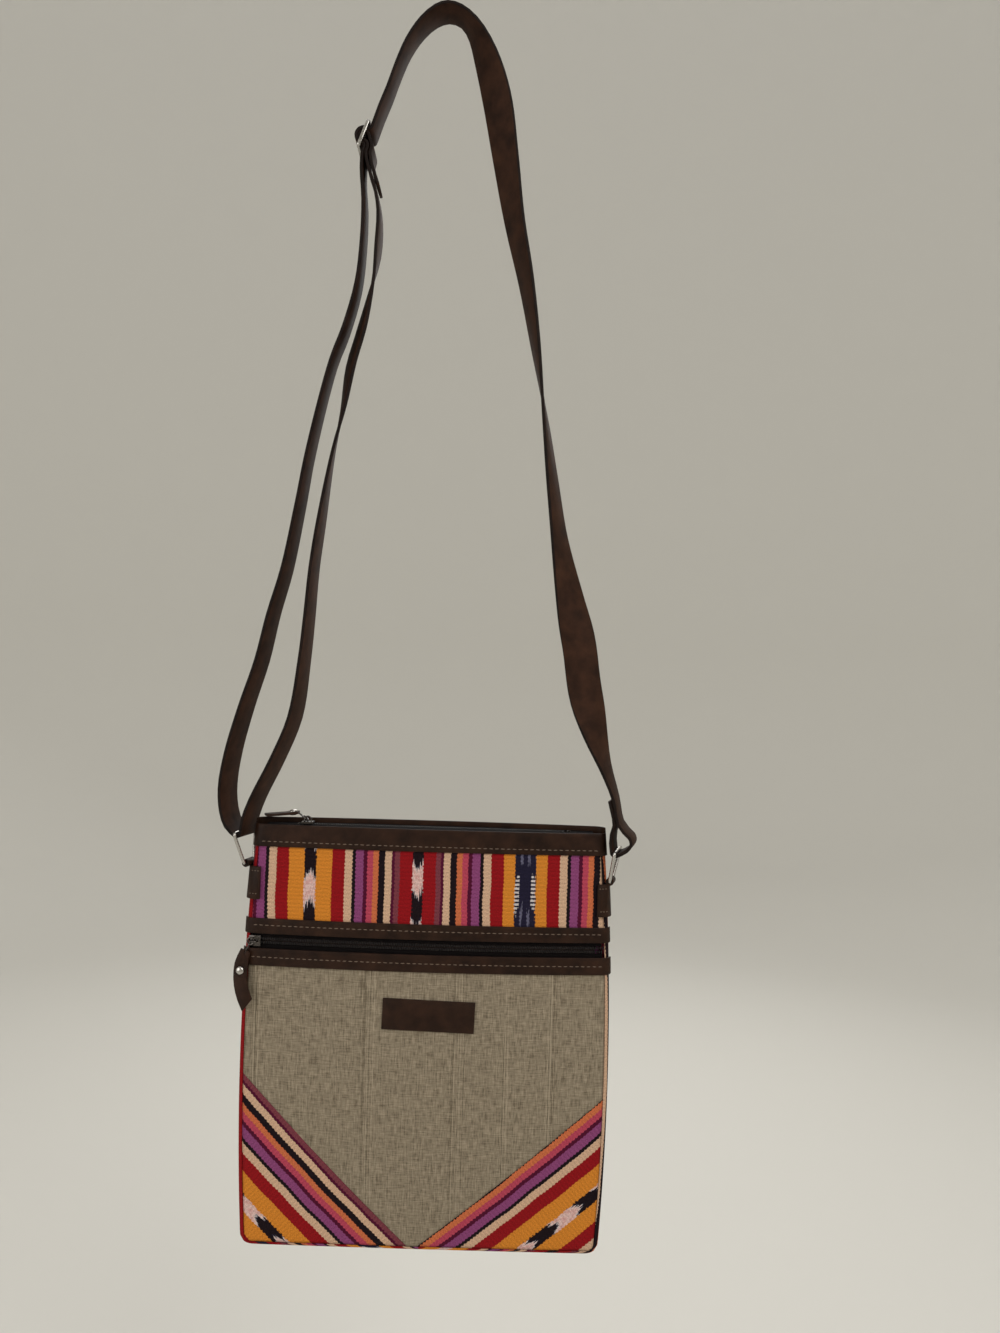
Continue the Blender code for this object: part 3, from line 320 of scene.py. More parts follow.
def half_width(height):
    share, middle = height / BAG_HEIGHT, FULLEST_HEIGHT / BAG_HEIGHT
    bottom, widest, top = HALF_WIDTHS
    width = bottom * (share - middle) * (share - 1.0) / middle
    width += widest * share * (share - 1.0) / (middle * (middle - 1.0))
    width += top * share * (share - middle) / (1.0 - middle)
    if height < CORNER_RADIUS:
        reach = CORNER_RADIUS - max(height, 0.0)
        width -= CORNER_RADIUS - math.sqrt(CORNER_RADIUS ** 2 - reach ** 2)
    return width


def half_depth(x, height):
    """Half of the bag's thickness, before its side edges are rounded."""
    low, high = 1.0, 0.0
    if height < FULLEST_HEIGHT:
        low = 1.0 - (1.0 - max(height, 0.0) / FULLEST_HEIGHT) ** BOTTOM_FULLNESS
    else:
        share = (height - FULLEST_HEIGHT) / (BAG_HEIGHT - FULLEST_HEIGHT)
        high = 0.5 - 0.5 * math.cos(math.pi * min(share, 1.0))
    side = SIDE_DEPTHS[0] + (SIDE_DEPTHS[1] - SIDE_DEPTHS[0]) * low
    bulge = BULGES[0] + (BULGES[1] - BULGES[0]) * low + (BULGES[2] - BULGES[1]) * high
    return side + bulge * (1.0 - (x / half_width(height)) ** 2)


def girth(height):
    """Distance round the bag from the middle of its front to the middle of its back."""
    return 2 * (half_width(height) - EDGE_RADIUS) + 2 * QUARTER_TURN


def bag_point(along, height, offset):
    """Point on the bag: along runs round it from the middle of the front, offset stands out from it."""
    half_way = girth(height)
    if along > half_way:
        along -= 2 * half_way
    flat = half_width(height) - EDGE_RADIUS
    reach, sign = abs(along), math.copysign(1.0, along)
    if reach <= flat:
        x, share = reach, 1.0
    elif reach <= flat + 2 * QUARTER_TURN:
        turn = (reach - flat) / EDGE_RADIUS
        x, share = flat + (EDGE_RADIUS + offset) * math.sin(turn), math.cos(turn)
    else:
        x, share = 2 * flat + 2 * QUARTER_TURN - reach, -1.0
    depth = half_depth(min(x, half_width(height)), height) + offset
    return BAG + Vector((sign * x, -depth * share, height))


def bag_axes(along, height, offset):
    """Directions along, up and out at a point on the bag."""
    step = 0.0005
    out = bag_point(along, height, offset + step) - bag_point(along, height, offset)
    run = bag_point(along + step, height, offset) - bag_point(along - step, height, offset)
    out.normalize()
    run = (run - out * run.dot(out)).normalized()
    return run, out.cross(run), out


def to_rim(height):
    """Half the length of a front panel, between the rims of the back cloth."""
    return half_width(height) - RIM - SEAM


# Meshes and pieces

def keep(name, bm, material, body, replaces=(), edge_material=None):
    """Turns a mesh into a piece of the bag that rides on a body."""
    mesh = bpy.data.meshes.new(name)
    bm.to_mesh(mesh)
    bm.free()
    mesh.shade_smooth()
    mesh.set_sharp_from_angle(angle=SHADING_ANGLE)
    mesh.materials.append(material)
    if edge_material:
        mesh.materials.append(edge_material)
    piece = bpy.data.objects.new(name, mesh)
    bpy.context.scene.collection.objects.link(piece)
    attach(piece, body)
    if replaces:
        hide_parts(*replaces)
    return piece


def thicken(piece, thickness, edge=0.0):
    """Gives a sheet its thickness, inwards, and rounds its cut edges."""
    wall = piece.modifiers.new("thickness", "SOLIDIFY")
    wall.thickness = thickness
    wall.offset = -1.0
    wall.use_even_offset = True
    if edge:
        rounding = piece.modifiers.new("edge", "BEVEL")
        rounding.width = edge
        rounding.segments = 2
        rounding.limit_method = "ANGLE"
        rounding.angle_limit = RIM_ANGLE
    return piece


def flat_grid(low, high, half, step, middle=lambda height: 0.0):
    """Grid laid out flat: X runs round the bag and Y is its height."""
    columns = math.ceil(2 * half((low + high) / 2) / step)
    rows = max(2, math.ceil((high - low) / step))
    bm = bmesh.new()
    bmesh.ops.create_grid(bm, x_segments=columns, y_segments=rows, size=1.0)
    for vert in bm.verts:
        height = low + (high - low) * (vert.co.y + 1.0) / 2
        vert.co = (middle(height) + vert.co.x * half(height), height, 0.0)
    return bm


def trim(bm, foot, head, keep_left, gap=SEAM / 2):
    """Cuts a flat grid along a slanting seam."""
    foot, head = Vector((*foot, 0.0)), Vector((*head, 0.0))
    along = (head - foot).normalized()
    away = Vector((along.y, -along.x, 0.0)) * (1.0 if keep_left else -1.0)
    bmesh.ops.bisect_plane(bm, geom=bm.verts[:] + bm.edges[:] + bm.faces[:], dist=1e-7,
                           plane_co=foot - away * gap, plane_no=away, clear_outer=True)


def map_cloth(bm, place):
    """Writes the cloth's own coordinates, in metres, from the flat layout."""
    layer = bm.loops.layers.uv.new(CLOTH_MAP)
    for face in bm.faces:
        for loop in face.loops:
            loop[layer].uv = place(loop.vert.co.x, loop.vert.co.y)


def lay(bm, offset, relief=lambda along, height: 0.0):
    """Wraps a flat layout round the bag."""
    for vert in bm.verts:
        along, height = vert.co.x, vert.co.y
        vert.co = bag_point(along, height, offset + relief(along, height))
    bm.normal_update()


def fade(distance, reach):
    return math.exp(-max(distance, 0.0) / reach)


def between(value, low, high):
    share = min(1.0, max(0.0, (value - low) / (high - low)))
    return share * share * (3.0 - 2.0 * share)


def waver(along, height, steps, seed):
    """Noise from -1 to 1, with so many steps per metre along and up."""
    return noise.noise(Vector((along * steps[0], height * steps[1], seed)))


def seam_distance(along, height, seam):
    (x0, z0), (x1, z1) = seam
    length = math.hypot(x1 - x0, z1 - z0)
    return abs((x1 - x0) * (height - z0) - (z1 - z0) * (along - x0)) / length


def sewn_relief(low, high, seams, seed):
    """Cloth that dips into its seams and puckers beside the leather strips."""
    depth = sizes().pucker

    def relief(along, height):
        side = to_rim(height) - abs(along)
        nearest = min([side, height - SEAM_HEIGHT] + [seam_distance(along, height, seam) for seam in seams])
        by_leather = fade(min(abs(height - low), abs(high - height)), GATHER_REACH)
        inside = between(height, low, low + LEATHER_FADE)
        inside *= 1.0 - between(height, high - LEATHER_FADE, high)
        ripples = RIPPLE_SHARE * waver(along, height, RIPPLE_STEPS, seed)
        gathers = GATHER_SHARE * waver(along, height, GATHER_STEPS, seed) * by_leather
        at_seams = SEAM_SHARE * waver(along, height, SEAM_STEPS, seed + 5.0) * fade(nearest, SEAM_REACH)
        return depth * (inside * (ripples + gathers) + at_seams - fade(nearest, DIP_REACH))
    return relief


def panel_copy(name, node, material, body, rounding, segments=2, smallest=35.0):
    """Copy of a hard piece with its edges rounded."""
    bm = bmesh.new()
    bm.from_mesh(NODES[node].data)
    bmesh.ops.remove_doubles(bm, verts=bm.verts, dist=TOUCHING)
    bmesh.ops.dissolve_limit(bm, angle_limit=FLAT_ANGLE, verts=bm.verts, edges=bm.edges)
    smallest = math.radians(smallest)
    sharp = [edge for edge in bm.edges if edge.is_manifold and edge.calc_face_angle() > smallest]
    bmesh.ops.bevel(bm, geom=sharp, offset=rounding, offset_type="OFFSET", affect="EDGES",
                    segments=segments, profile=0.5, material=-1, clamp_overlap=True)
    return keep(name, bm, material, body, (node,))


def wire_copy(name, node, material, body):
    """Copy of a wire piece, made round."""
    bm = bmesh.new()
    bm.from_mesh(NODES[node].data)
    bmesh.ops.remove_doubles(bm, verts=bm.verts, dist=TOUCHING)
    bmesh.ops.join_triangles(bm, faces=bm.faces, angle_face_threshold=math.radians(30.0),
                             angle_shape_threshold=math.radians(60.0))
    piece = keep(name, bm, material, body, (node,))
    rounding = piece.modifiers.new("round", "SUBSURF")
    rounding.levels = 2
    rounding.render_levels = 2
    return piece


def repaint(node, material):
    """Gives a node that stays plain its finish."""
    NODES[node].data.materials.clear()
    NODES[node].data.materials.append(material)


# Materials

class Finish:
    """A material being put together."""

    def __init__(self, name, base, roughness, **sockets):
        self.material = bpy.data.materials.new(name)
        self.material.use_nodes = True
        self.tree = self.material.node_tree
        self.shader = self.tree.nodes["Principled BSDF"]
        self.shader.inputs["Base Color"].default_value = base
        self.shader.inputs["Roughness"].default_value = roughness
        for label, value in sockets.items():
            self.shader.inputs[label.replace("_", " ")].default_value = value

    def node(self, kind, inputs=(), **settings):
        made = self.tree.nodes.new(f"ShaderNode{kind}")
        for label, value in settings.items():
            setattr(made, label, value)
        for label, value in dict(inputs).items():
            if isinstance(value, bpy.types.NodeSocket):
                self.tree.links.new(value, made.inputs[label])
            else:
                made.inputs[label].default_value = value
        return made

    def math(self, operation, *values):
        return self.node("Math", enumerate(values), operation=operation).outputs[0]

    def times(self, first, second):
        return self.math("MULTIPLY", first, second)

    def plus(self, total, *others):
        for other in others:
            total = self.math("ADD", total, other)
        return total

    def over(self, value, level):
        return self.math("GREATER_THAN", value, level)

    def under(self, value, level):
        return self.math("LESS_THAN", value, level)

    def zigzag(self, value, reach):
        """Runs from 0 to 1 and back, over the reach each way."""
        return self.math("DIVIDE", self.math("PINGPONG", value, reach), reach)

    def stretch(self, vector, scale):
        return self.node("VectorMath", {0: vector, 1: scale}, operation="MULTIPLY").outputs[0]

    def speckle(self, vector, scale, detail=2.0, roughness=0.5):
        """Noise from 0 to 1, with so many steps per metre."""
        inputs = {"Vector": self.stretch(vector, scale), "Scale": 1.0, "Detail": detail}
        return self.node("TexNoise", {**inputs, "Roughness": roughness}).outputs[0]

    def uneven(self, vector, scale, detail):
        """Noise from -0.5 to 0.5."""
        return self.math("SUBTRACT", self.speckle(vector, scale, detail), 0.5)

    def ramp(self, factor, stops, interpolation="LINEAR"):
        ramp = self.node("ValToRGB", {0: factor})
        ramp.color_ramp.interpolation = interpolation
        elements = ramp.color_ramp.elements
        while len(elements) < len(stops):
            elements.new(1.0)
        for element, (position, shade) in zip(elements, stops):
            element.position = position
            element.color = shade
        return ramp.outputs[0]

    def mix(self, factor, first, second, blend="MIX"):
        mixed = self.node("Mix", {0: factor, 6: first, 7: second}, data_type="RGBA", blend_type=blend)
        return mixed.outputs[2]

    def bump(self, height, strength, depth):
        bump = self.node("Bump", {"Height": height, "Strength": strength, "Distance": depth})
        self.tree.links.new(bump.outputs[0], self.shader.inputs["Normal"])

    def colour(self, socket):
        self.tree.links.new(socket, self.shader.inputs["Base Color"])

    def object_space(self):
        return self.node("TexCoord").outputs["Object"]


def once(name, make):
    """The named material, made the first time that it is asked for."""
    return bpy.data.materials.get(name) or make(name)


def grey(value):
    return (value, value, value, 1.0)


def toned(name, share):
    """A named colour, made darker or lighter."""
    return (*(share * value for value in colour(name)[:3]), 1.0)


def make_striped(name):
    """Ribbed warp stripes that mirror about bands of ikat, whose figures have feathered ends; the rib
    grooves carry painted shade.
    """
    finish = Finish(name, colour("red"), roughness=0.9, Specular_IOR_Level=0.12)
    flat = finish.node("UVMap", uv_map=CLOTH_MAP).outputs[0]
    parts = finish.node("SeparateXYZ", {0: flat})
    across, along = parts.outputs[0], parts.outputs[1]
    rib = finish.math("SINE", finish.times(along, 2 * math.pi / RIB_PITCH))
    threads = finish.uneven(flat, THREAD_NOISE, detail=1.0)
    wander = finish.uneven(flat, WANDER_NOISE, detail=1.0)
    across = finish.plus(across, finish.times(threads, THREAD_STRAY), finish.times(wander, WANDER_STRAY),
                         finish.times(rib, RIB_STRAY))
    mirrored = finish.zigzag(across, STRIPE_REACH)
    stripes = finish.ramp(mirrored, [(at, colour(shade)) for at, shade in STRIPES], "CONSTANT")

    feather = finish.times(finish.uneven(flat, FEATHER_NOISE, detail=2.0), FEATHER)
    height = finish.plus(along, -IKAT_PHASE, feather, finish.times(mirrored, IKAT_TAPER))
    figure = finish.zigzag(height, IKAT_REACH)
    tied = finish.ramp(figure, [(at, colour(shade)) for at, shade in IKAT], "CONSTANT")

    second = finish.over(across, SECOND_START)
    bead = finish.zigzag(finish.plus(height, -SECOND_PHASE), IKAT_REACH)
    ribbed = finish.plus(rib, finish.times(threads, BEAD_RAGGED))
    beads = finish.times(finish.over(ribbed, BEAD_LEVEL), finish.over(bead, BEAD_START))
    flank = finish.times(finish.over(mirrored, FLANK_START), beads)
    near = finish.math("COMPARE", mirrored, LINE_PLACE, LINE_HALF)
    lines = finish.times(near, finish.under(bead, LINE_END))
    dark = finish.mix(flank, finish.mix(lines, colour("navy"), colour("steel")), colour("white"))
    tied = finish.mix(second, tied, dark)

    width = finish.plus(finish.times(second, SECOND_EDGE - IKAT_EDGE), IKAT_EDGE)
    ragged = finish.plus(mirrored, finish.times(threads, IKAT_RAGGED))
    in_band = finish.math("MAXIMUM", finish.under(ragged, width), finish.over(ragged, MIDDLE_EDGE))
    dyed = finish.mix(in_band, stripes, tied)

    weave = finish.speckle(flat, WEAVE_NOISE)
    relief = finish.plus(finish.times(rib, RIB_RELIEF_AND_SHADE), weave)
    # Painted shade and painted highlight: the colour is darkened in the rib grooves and lightened on the rib
    # crests, on top of the weave's random tone; the same relief also drives the bump
    shade = finish.ramp(relief, [(0.25, grey(0.50)), (0.75, grey(1.25))])
    finish.colour(finish.mix(1.0, dyed, shade, "MULTIPLY"))
    finish.bump(relief, strength=0.5, depth=0.0004)
    return finish.material


def make_linen(name):
    """Plain cloth of light and dark yarns, with a few thin double lines that run upwards."""
    finish = Finish(name, colour("linen"), roughness=0.92, Specular_IOR_Level=0.12)
    flat = finish.node("UVMap", uv_map=CLOTH_MAP).outputs[0]
    tone = finish.plus(*(finish.times(finish.speckle(flat, scale, 3.0, roughness), share)
                         for scale, roughness, share in LINEN_LAYERS))
    group = finish.speckle(flat, LINE_GROUPS, detail=0.0)
    strand = finish.uneven(flat, LINE_STRANDS, detail=0.0)
    lines = finish.times(finish.over(group, LINE_LEVEL), strand)
    tone = finish.plus(tone, finish.times(lines, LINE_STRENGTH))
    finish.colour(finish.ramp(tone, [(0.39, colour("linen_dark")), (0.61, colour("linen"))]))
    finish.bump(tone, strength=0.6, depth=0.0006)
    return finish.material


def make_leather(name, shade="leather", roughness=0.48):
    """Dull dark leather with a fine grain."""
    finish = Finish(name, colour(shade), roughness, Specular_IOR_Level=0.12)
    place = finish.object_space()
    grain = finish.node("TexVoronoi", {"Vector": place, "Scale": GRAIN_SCALE}).outputs[0]
    cloud = finish.speckle(place, LEATHER_CLOUDS, detail=4.0, roughness=0.6)
    finish.colour(finish.ramp(cloud, [(0.3, toned(shade, 0.55)), (0.7, toned(shade, 1.55))]))
    finish.bump(finish.plus(grain, finish.times(cloud, 0.8)), strength=0.25, depth=0.0002)
    return finish.material


def make_cloth(name, shade):
    """Plain tape or lining with a close weave."""
    finish = Finish(name, colour(shade), roughness=0.9, Specular_IOR_Level=0.06)
    weave = finish.speckle(finish.object_space(), CLOTH_NOISE, detail=1.0)
    finish.colour(finish.ramp(weave, [(0.35, toned(shade, 0.7)), (0.65, toned(shade, 1.3))]))
    finish.bump(weave, strength=0.4, depth=0.0003)
    return finish.material


def make_metal(name, shade="metal"):
    """Plated metal with faint scratches."""
    finish = Finish(name, colour(shade), roughness=0.24, Metallic=1.0)
    scratches = finish.speckle(finish.object_space(), SCRATCHES, detail=3.0)
    rough = finish.ramp(scratches, [(0.3, grey(0.16)), (0.7, grey(0.34))])
    finish.tree.links.new(rough, finish.shader.inputs["Roughness"])
    return finish.material


def make_teeth(name):
    """Dark moulded zip teeth."""
    finish = Finish(name, (0.010, 0.008, 0.008, 1.0), roughness=0.4, Specular_IOR_Level=0.25)
    wear = finish.speckle(finish.object_space(), TOOTH_WEAR)
    finish.colour(finish.ramp(wear, [(0.3, (0.006, 0.005, 0.005, 1.0)), (0.7, (0.014, 0.012, 0.012, 1.0))]))
    return finish.material


def make_thread(name):
    """Twisted sewing thread."""
    finish = Finish(name, colour("thread"), roughness=0.7)
    twist = finish.speckle(finish.object_space(), THREAD_TWIST, detail=1.0)
    finish.colour(finish.ramp(twist, [(0.35, toned("thread", 0.7)), (0.6, colour("thread"))]))
    finish.bump(twist, strength=0.5, depth=0.0002)
    return finish.material


def leather():
    return once("bag_leather", make_leather)


def metal():
    return once("bag_metal", make_metal)


def dark_metal():
    return once("slider_metal", lambda name: make_metal(name, "dark_metal"))


def thread():
    return once("sewing_thread", make_thread)


def zip_cloth():
    return once("zip_tape_cloth", lambda name: make_cloth(name, "zip_cloth"))


# Operators

class BAG_OT_stage(bpy.types.Operator):
    """Pale rounded backdrop, soft lamps and the camera"""

    bl_idname = "bag.stage"
    bl_label = "Stage"

    def execute(self, context):
        bm = bmesh.new()
        turns = [math.pi / 2 * k / COVE_STEPS for k in range(COVE_STEPS + 1)]
        cove = [(COVE_START + COVE_RADIUS * math.sin(turn), FLOOR + COVE_RADIUS * (1.0 - math.cos(turn)))
                for turn in turns]
        profile = [(0.0, FLOOR), (COVE_START / 2, FLOOR)] + cove + [(COVE_START + COVE_RADIUS, WALL_TOP)]
        verts = [bm.verts.new((x, 0.0, z)) for x, z in profile]
        edges = [bm.edges.new(pair) for pair in zip(verts, verts[1:])]
        bmesh.ops.spin(bm, geom=verts + edges, cent=(0, 0, 0), axis=(0, 0, 1), angle=2 * math.pi,
                       steps=WALL_STEPS, use_merge=True)
        bmesh.ops.remove_doubles(bm, verts=bm.verts, dist=TOUCHING)
        bmesh.ops.recalc_face_normals(bm, faces=bm.faces)
        mesh = bpy.data.meshes.new("backdrop")
        bm.to_mesh(mesh)
        bm.free()
        mesh.shade_smooth()
        mesh.materials.append(once("backdrop_paint", self.paint))
        backdrop = bpy.data.objects.new("backdrop", mesh)
        context.scene.collection.objects.link(backdrop)
        self.lamps(context)
        self.camera(context)
        return {"FINISHED"}

    @staticmethod
    def paint(name):
        return Finish(name, colour("backdrop"), roughness=0.95, Specular_IOR_Level=0.1).material

    @staticmethod
    def lamps(context):
        for name, (place, size, power) in LAMPS.items():
            lamp = bpy.data.lights.new(name, "AREA")
            lamp.shape = "DISK"
            lamp.size = size
            lamp.energy = power
            holder = bpy.data.objects.new(name, lamp)
            holder.location = place
            holder.rotation_euler = (Vector(place) - LAMP_TARGET).to_track_quat("Z", "Y").to_euler()
            context.scene.collection.objects.link(holder)
        world = bpy.data.worlds.new("pale_room")
        context.scene.world = world
        world.use_nodes = True
        background = world.node_tree.nodes["Background"]
        background.inputs["Color"].default_value = ROOM_LIGHT
        background.inputs["Strength"].default_value = ROOM_STRENGTH
        context.scene.view_settings.view_transform = "Standard"

    @staticmethod
    def camera(context):
        camera = bpy.data.cameras.new("camera")
        camera.sensor_fit = "VERTICAL"
        camera.angle = 2 * math.atan(CAMERA_HALF_VIEW / CAMERA_DISTANCE)
        camera.clip_start = 0.01
        holder = bpy.data.objects.new("camera", camera)
        level = math.sqrt(1 - CAMERA_ROLL ** 2)
        right = Vector((level, 0.0, CAMERA_ROLL))
        up = Vector((-CAMERA_ROLL, 0.0, level))
        turn = Matrix((right, up, (0.0, -1.0, 0.0))).transposed().to_4x4()
        holder.matrix_world = Matrix.Translation(CAMERA_PLACE) @ turn
        context.scene.collection.objects.link(holder)
        context.scene.camera = holder


class BAG_OT_front_cloth(bpy.types.Operator):
    """Striped panel, linen panel and the two corner patches of the front"""

    bl_idname = "bag.front_cloth"
    bl_label = "Front cloth"

    def execute(self, context):
        striped = once("woven_stripes", make_striped)
        linen = once("slub_linen", make_linen)
        thickness = sizes().cloth_thickness

        bm = flat_grid(STRIPE_BOTTOM, CLOTH_TOP, to_rim, CLOTH_STEP)
        map_cloth(bm, lambda along, height: (along - FIRST_IKAT, height))
        lay(bm, 0.0, sewn_relief(STRIP_UPPER[1], BAND_BOTTOM, (), 1.0))
        panel = keep("front_stripe_cloth", bm, striped, "bag", ("front_stripe_panel",))
        thicken(panel, thickness)
        width = 2 * to_rim((STRIPE_BOTTOM + CLOTH_TOP) / 2)

        low = SEAM_HEIGHT + SEAM
        seams = (LEFT_SEAM, RIGHT_SEAM)
        bm = flat_grid(low, LINEN_TOP, to_rim, CLOTH_STEP)
        trim(bm, *LEFT_SEAM, keep_left=False)
        trim(bm, *RIGHT_SEAM, keep_left=True)
        map_cloth(bm, lambda along, height: (along, height))
        lay(bm, 0.0, sewn_relief(0.0, STRIP_LOWER[0], seams, 2.0))
        panel = keep("linen_cloth", bm, linen, "bag", ("linen_panel",))
        thicken(panel, thickness)
        area = 2 * to_rim(LINEN_TOP / 2) * (LINEN_TOP - low) - 2 * PATCH_AREA
        2 * to_rim(LINEN_TOP)

        for side, seam in (("left", LEFT_SEAM), ("right", RIGHT_SEAM)):
            bm = flat_grid(low, seam[1][1] + PATCH_SPARE, to_rim, CLOTH_STEP)
            trim(bm, *seam, keep_left=side == "left", gap=-SEAM / 2)
            map_cloth(bm, self.bias(seam, PATCH_STRIPES[side] * STRIPE_REACH))
            lay(bm, 0.0, sewn_relief(0.0, LINEN_TOP, (seam,), 3.0 if side == "left" else 4.0))
            node = f"corner_patch_{side}"
            panel = keep(f"{node}_cloth", bm, striped, "bag", (node,))
            thicken(panel, thickness)
        return {"FINISHED"}

    @staticmethod
    def bias(seam, start):
        """Cloth coordinates of a patch whose stripes run along its slanting seam."""
        (x0, z0), (x1, z1) = seam
        length = math.hypot(x1 - x0, z1 - z0)

        def place(along, height):
            run = ((x1 - x0) * (along - x0) + (z1 - z0) * (height - z0)) / length
            return start - seam_distance(along, height, seam), IKAT_PHASE + run
        return place


class BAG_OT_back_cloth(bpy.types.Operator):
    """Striped cloth of the back, folded round the sides and the bottom"""

    bl_idname = "bag.back_cloth"
    bl_label = "Back cloth"

    def execute(self, context):
        bm = bmesh.new()
        bmesh.ops.create_grid(bm, x_segments=BACK_COLUMNS, y_segments=BACK_ROWS, size=1.0)
        for vert in bm.verts:
            row = (vert.co.y + 1.0) / 2 * BACK_ROWS
            if row <= FOLD_ROWS:
                height = SEAM_HEIGHT * row / FOLD_ROWS
            else:
                share = (row - FOLD_ROWS) / (BACK_ROWS - FOLD_ROWS)
                height = SEAM_HEIGHT + (CLOTH_TOP - SEAM_HEIGHT) * share
            half_way = girth(height)
            rim = half_way - half_width(height) + RIM
            reach = abs(vert.co.x)
            if reach <= RIM_COLUMNS + TOUCHING:
                along = reach / RIM_COLUMNS * rim
            else:
                along = rim + (half_way - rim) * (reach - RIM_COLUMNS) / (1.0 - RIM_COLUMNS)
            vert.co = (half_way + math.copysign(along, vert.co.x), height, 0.0)
        window = [face for face in bm.faces
                  if face.calc_center_median().y > SEAM_HEIGHT and self.on_front(face.calc_center_median())]
        bmesh.ops.delete(bm, geom=window, context="FACES")
        map_cloth(bm, lambda along, height: (along - girth(height) - FIRST_IKAT, height))
        lay(bm, 0.0, self.fold)
        bmesh.ops.remove_doubles(bm, verts=bm.verts, dist=TOUCHING)
        lowest = [edge for edge in bm.edges
                  if edge.is_boundary and all(vert.co.z < BAG.z + TOUCHING for vert in edge.verts)]
        bmesh.ops.edgeloop_fill(bm, edges=lowest)
        bm.normal_update()
        striped = once("woven_stripes", make_striped)
        panel = keep("back_cloth", bm, striped, "bag", ("back_panel",))
        thicken(panel, sizes().cloth_thickness)
        girth(FULLEST_HEIGHT) + 2 * RIM
        return {"FINISHED"}

    @staticmethod
    def fold(along, height):
        """Draws the cloth in, on a round, towards the bottom."""
        reach = 1.0 - min(height / FOLD_HEIGHT, 1.0)
        return -FOLD_DEPTH * (1.0 - math.sqrt(1.0 - reach ** 2))

    @staticmethod
    def on_front(spot):
        half_way = girth(spot.y)
        return abs(spot.x - half_way) > half_way - half_width(spot.y) + RIM


class BAG_OT_leather(bpy.types.Operator):
    """Top bands, pocket strips, side tabs and the bare patch"""

    bl_idname = "bag.leather"
    bl_label = "Leather"

    def execute(self, context):
        edge = sizes().leather_edge
        thickness = LEATHER_FACE - LEATHER_BACK

        def half_loop(height):
            return half_width(height) - EDGE_RADIUS + QUARTER_TURN - SEAM

        strips = {
            "top_band_front": (BAND_BOTTOM, BAND_TOPS["front"], lambda height: 0.0),
            "top_band_back": (BAND_BOTTOM, BAND_TOPS["back"], girth),
            "pocket_strip_upper": (*STRIP_UPPER, lambda height: 0.0),
            "pocket_strip_lower": (*STRIP_LOWER, lambda height: 0.0),
        }
        for seed, (node, (low, high, middle)) in enumerate(strips.items()):
            bm = flat_grid(low, high, half_loop, LEATHER_STEP, middle)
            lay(bm, LEATHER_FACE,
                lambda along, height: STRIP_RIPPLE * waver(along, height, STRIP_STEPS, 10.0 + seed))
            piece = keep(f"{node}_leather", bm, leather(), "bag", (node,))
            thicken(piece, thickness, edge)
        for side in ("left", "right"):
            node = f"tab_{side}"
            panel_copy(f"{node}_leather", node, leather(), "bag", edge)
        panel_copy("label_leather", "label_patch", leather(), "bag", edge)
        return {"FINISHED"}


class BAG_OT_zips(bpy.types.Operator):
    """Tapes and teeth of both zips"""

    bl_idname = "bag.zips"
    bl_label = "Zips"

    def execute(self, context):
        for node in ("pocket_tape_lower", "pocket_tape_upper", "top_tape_front", "top_tape_back"):
            panel_copy(f"{node}_cloth", node, zip_cloth(), "bag", TAPE_EDGE, 1)
        pitch = sizes().tooth_pitch
        self.rows("pocket", ("lower", "upper"), round(2 * POCKET_ZIP_HALF / pitch), self.pocket_place)
        self.rows("top", ("front", "back"), round((TOP_ZIP[1] - TOP_ZIP[0]) / pitch) - 1, self.top_place)
        return {"FINISHED"}

    def rows(self, zip_name, sides, count, find_place):
        """Both rows of a zip, the second half a pitch on from the first."""
        for side, sign, shift in zip(sides, (-1, 1), (0.0, 0.5)):
            bm = bmesh.new()
            for k in range(count):
                self.tooth(bm, *find_place(k + shift, sign))
            bmesh.ops.bevel(bm, geom=bm.edges[:], offset=TOOTH_EDGE, offset_type="OFFSET", affect="EDGES",
                            segments=1, profile=0.5, material=-1)
            bmesh.ops.recalc_face_normals(bm, faces=bm.faces)
            node = f"{zip_name}_teeth_{side}"
            keep(f"{node}_row", bm, once("tooth_plastic", make_teeth), "bag", (node,))

    @staticmethod
    def pocket_place(steps, sign):
        """Place of a pocket tooth, and its directions along, across and out."""
        along = -POCKET_ZIP_HALF + (steps + POCKET_FIRST_TOOTH) * sizes().tooth_pitch
        place = BAG + Vector((along, TEETH_SINK - half_depth(along, ZIP_HEIGHT), ZIP_HEIGHT))
        run, _, _ = bag_axes(along * TOOTH_TURN, ZIP_HEIGHT, 0.0)
        return place, run, Vector((0.0, 0.0, sign)), run.cross(Vector((0.0, 0.0, 1.0)))

    @staticmethod
    def top_place(steps, sign):
        """Place of a top tooth, and its directions along, across and out."""
        along = TOP_ZIP[0] + (steps + TOP_FIRST_TOOTH) * sizes().tooth_pitch
        place = BAG + Vector((along, 0.0, TOP_ZIP_HEIGHT))
        return place, Vector((1.0, 0.0, 0.0)), Vector((0.0, sign, 0.0)), Vector((0.0, 0.0, 1.0))

    @staticmethod
    def tooth(bm, place, run, across, out):
        inner, outer = TEETH_ACROSS
        turn = Matrix((run, across, out)).transposed().to_4x4()
        middle = Matrix.Translation(place + across * (inner + outer) / 2)
        shape = Matrix.Diagonal((sizes().tooth_pitch * TOOTH_SHARE, outer - inner, TEETH_THICKNESS, 1.0))
        bmesh.ops.create_cube(bm, size=1.0, matrix=middle @ turn @ shape)


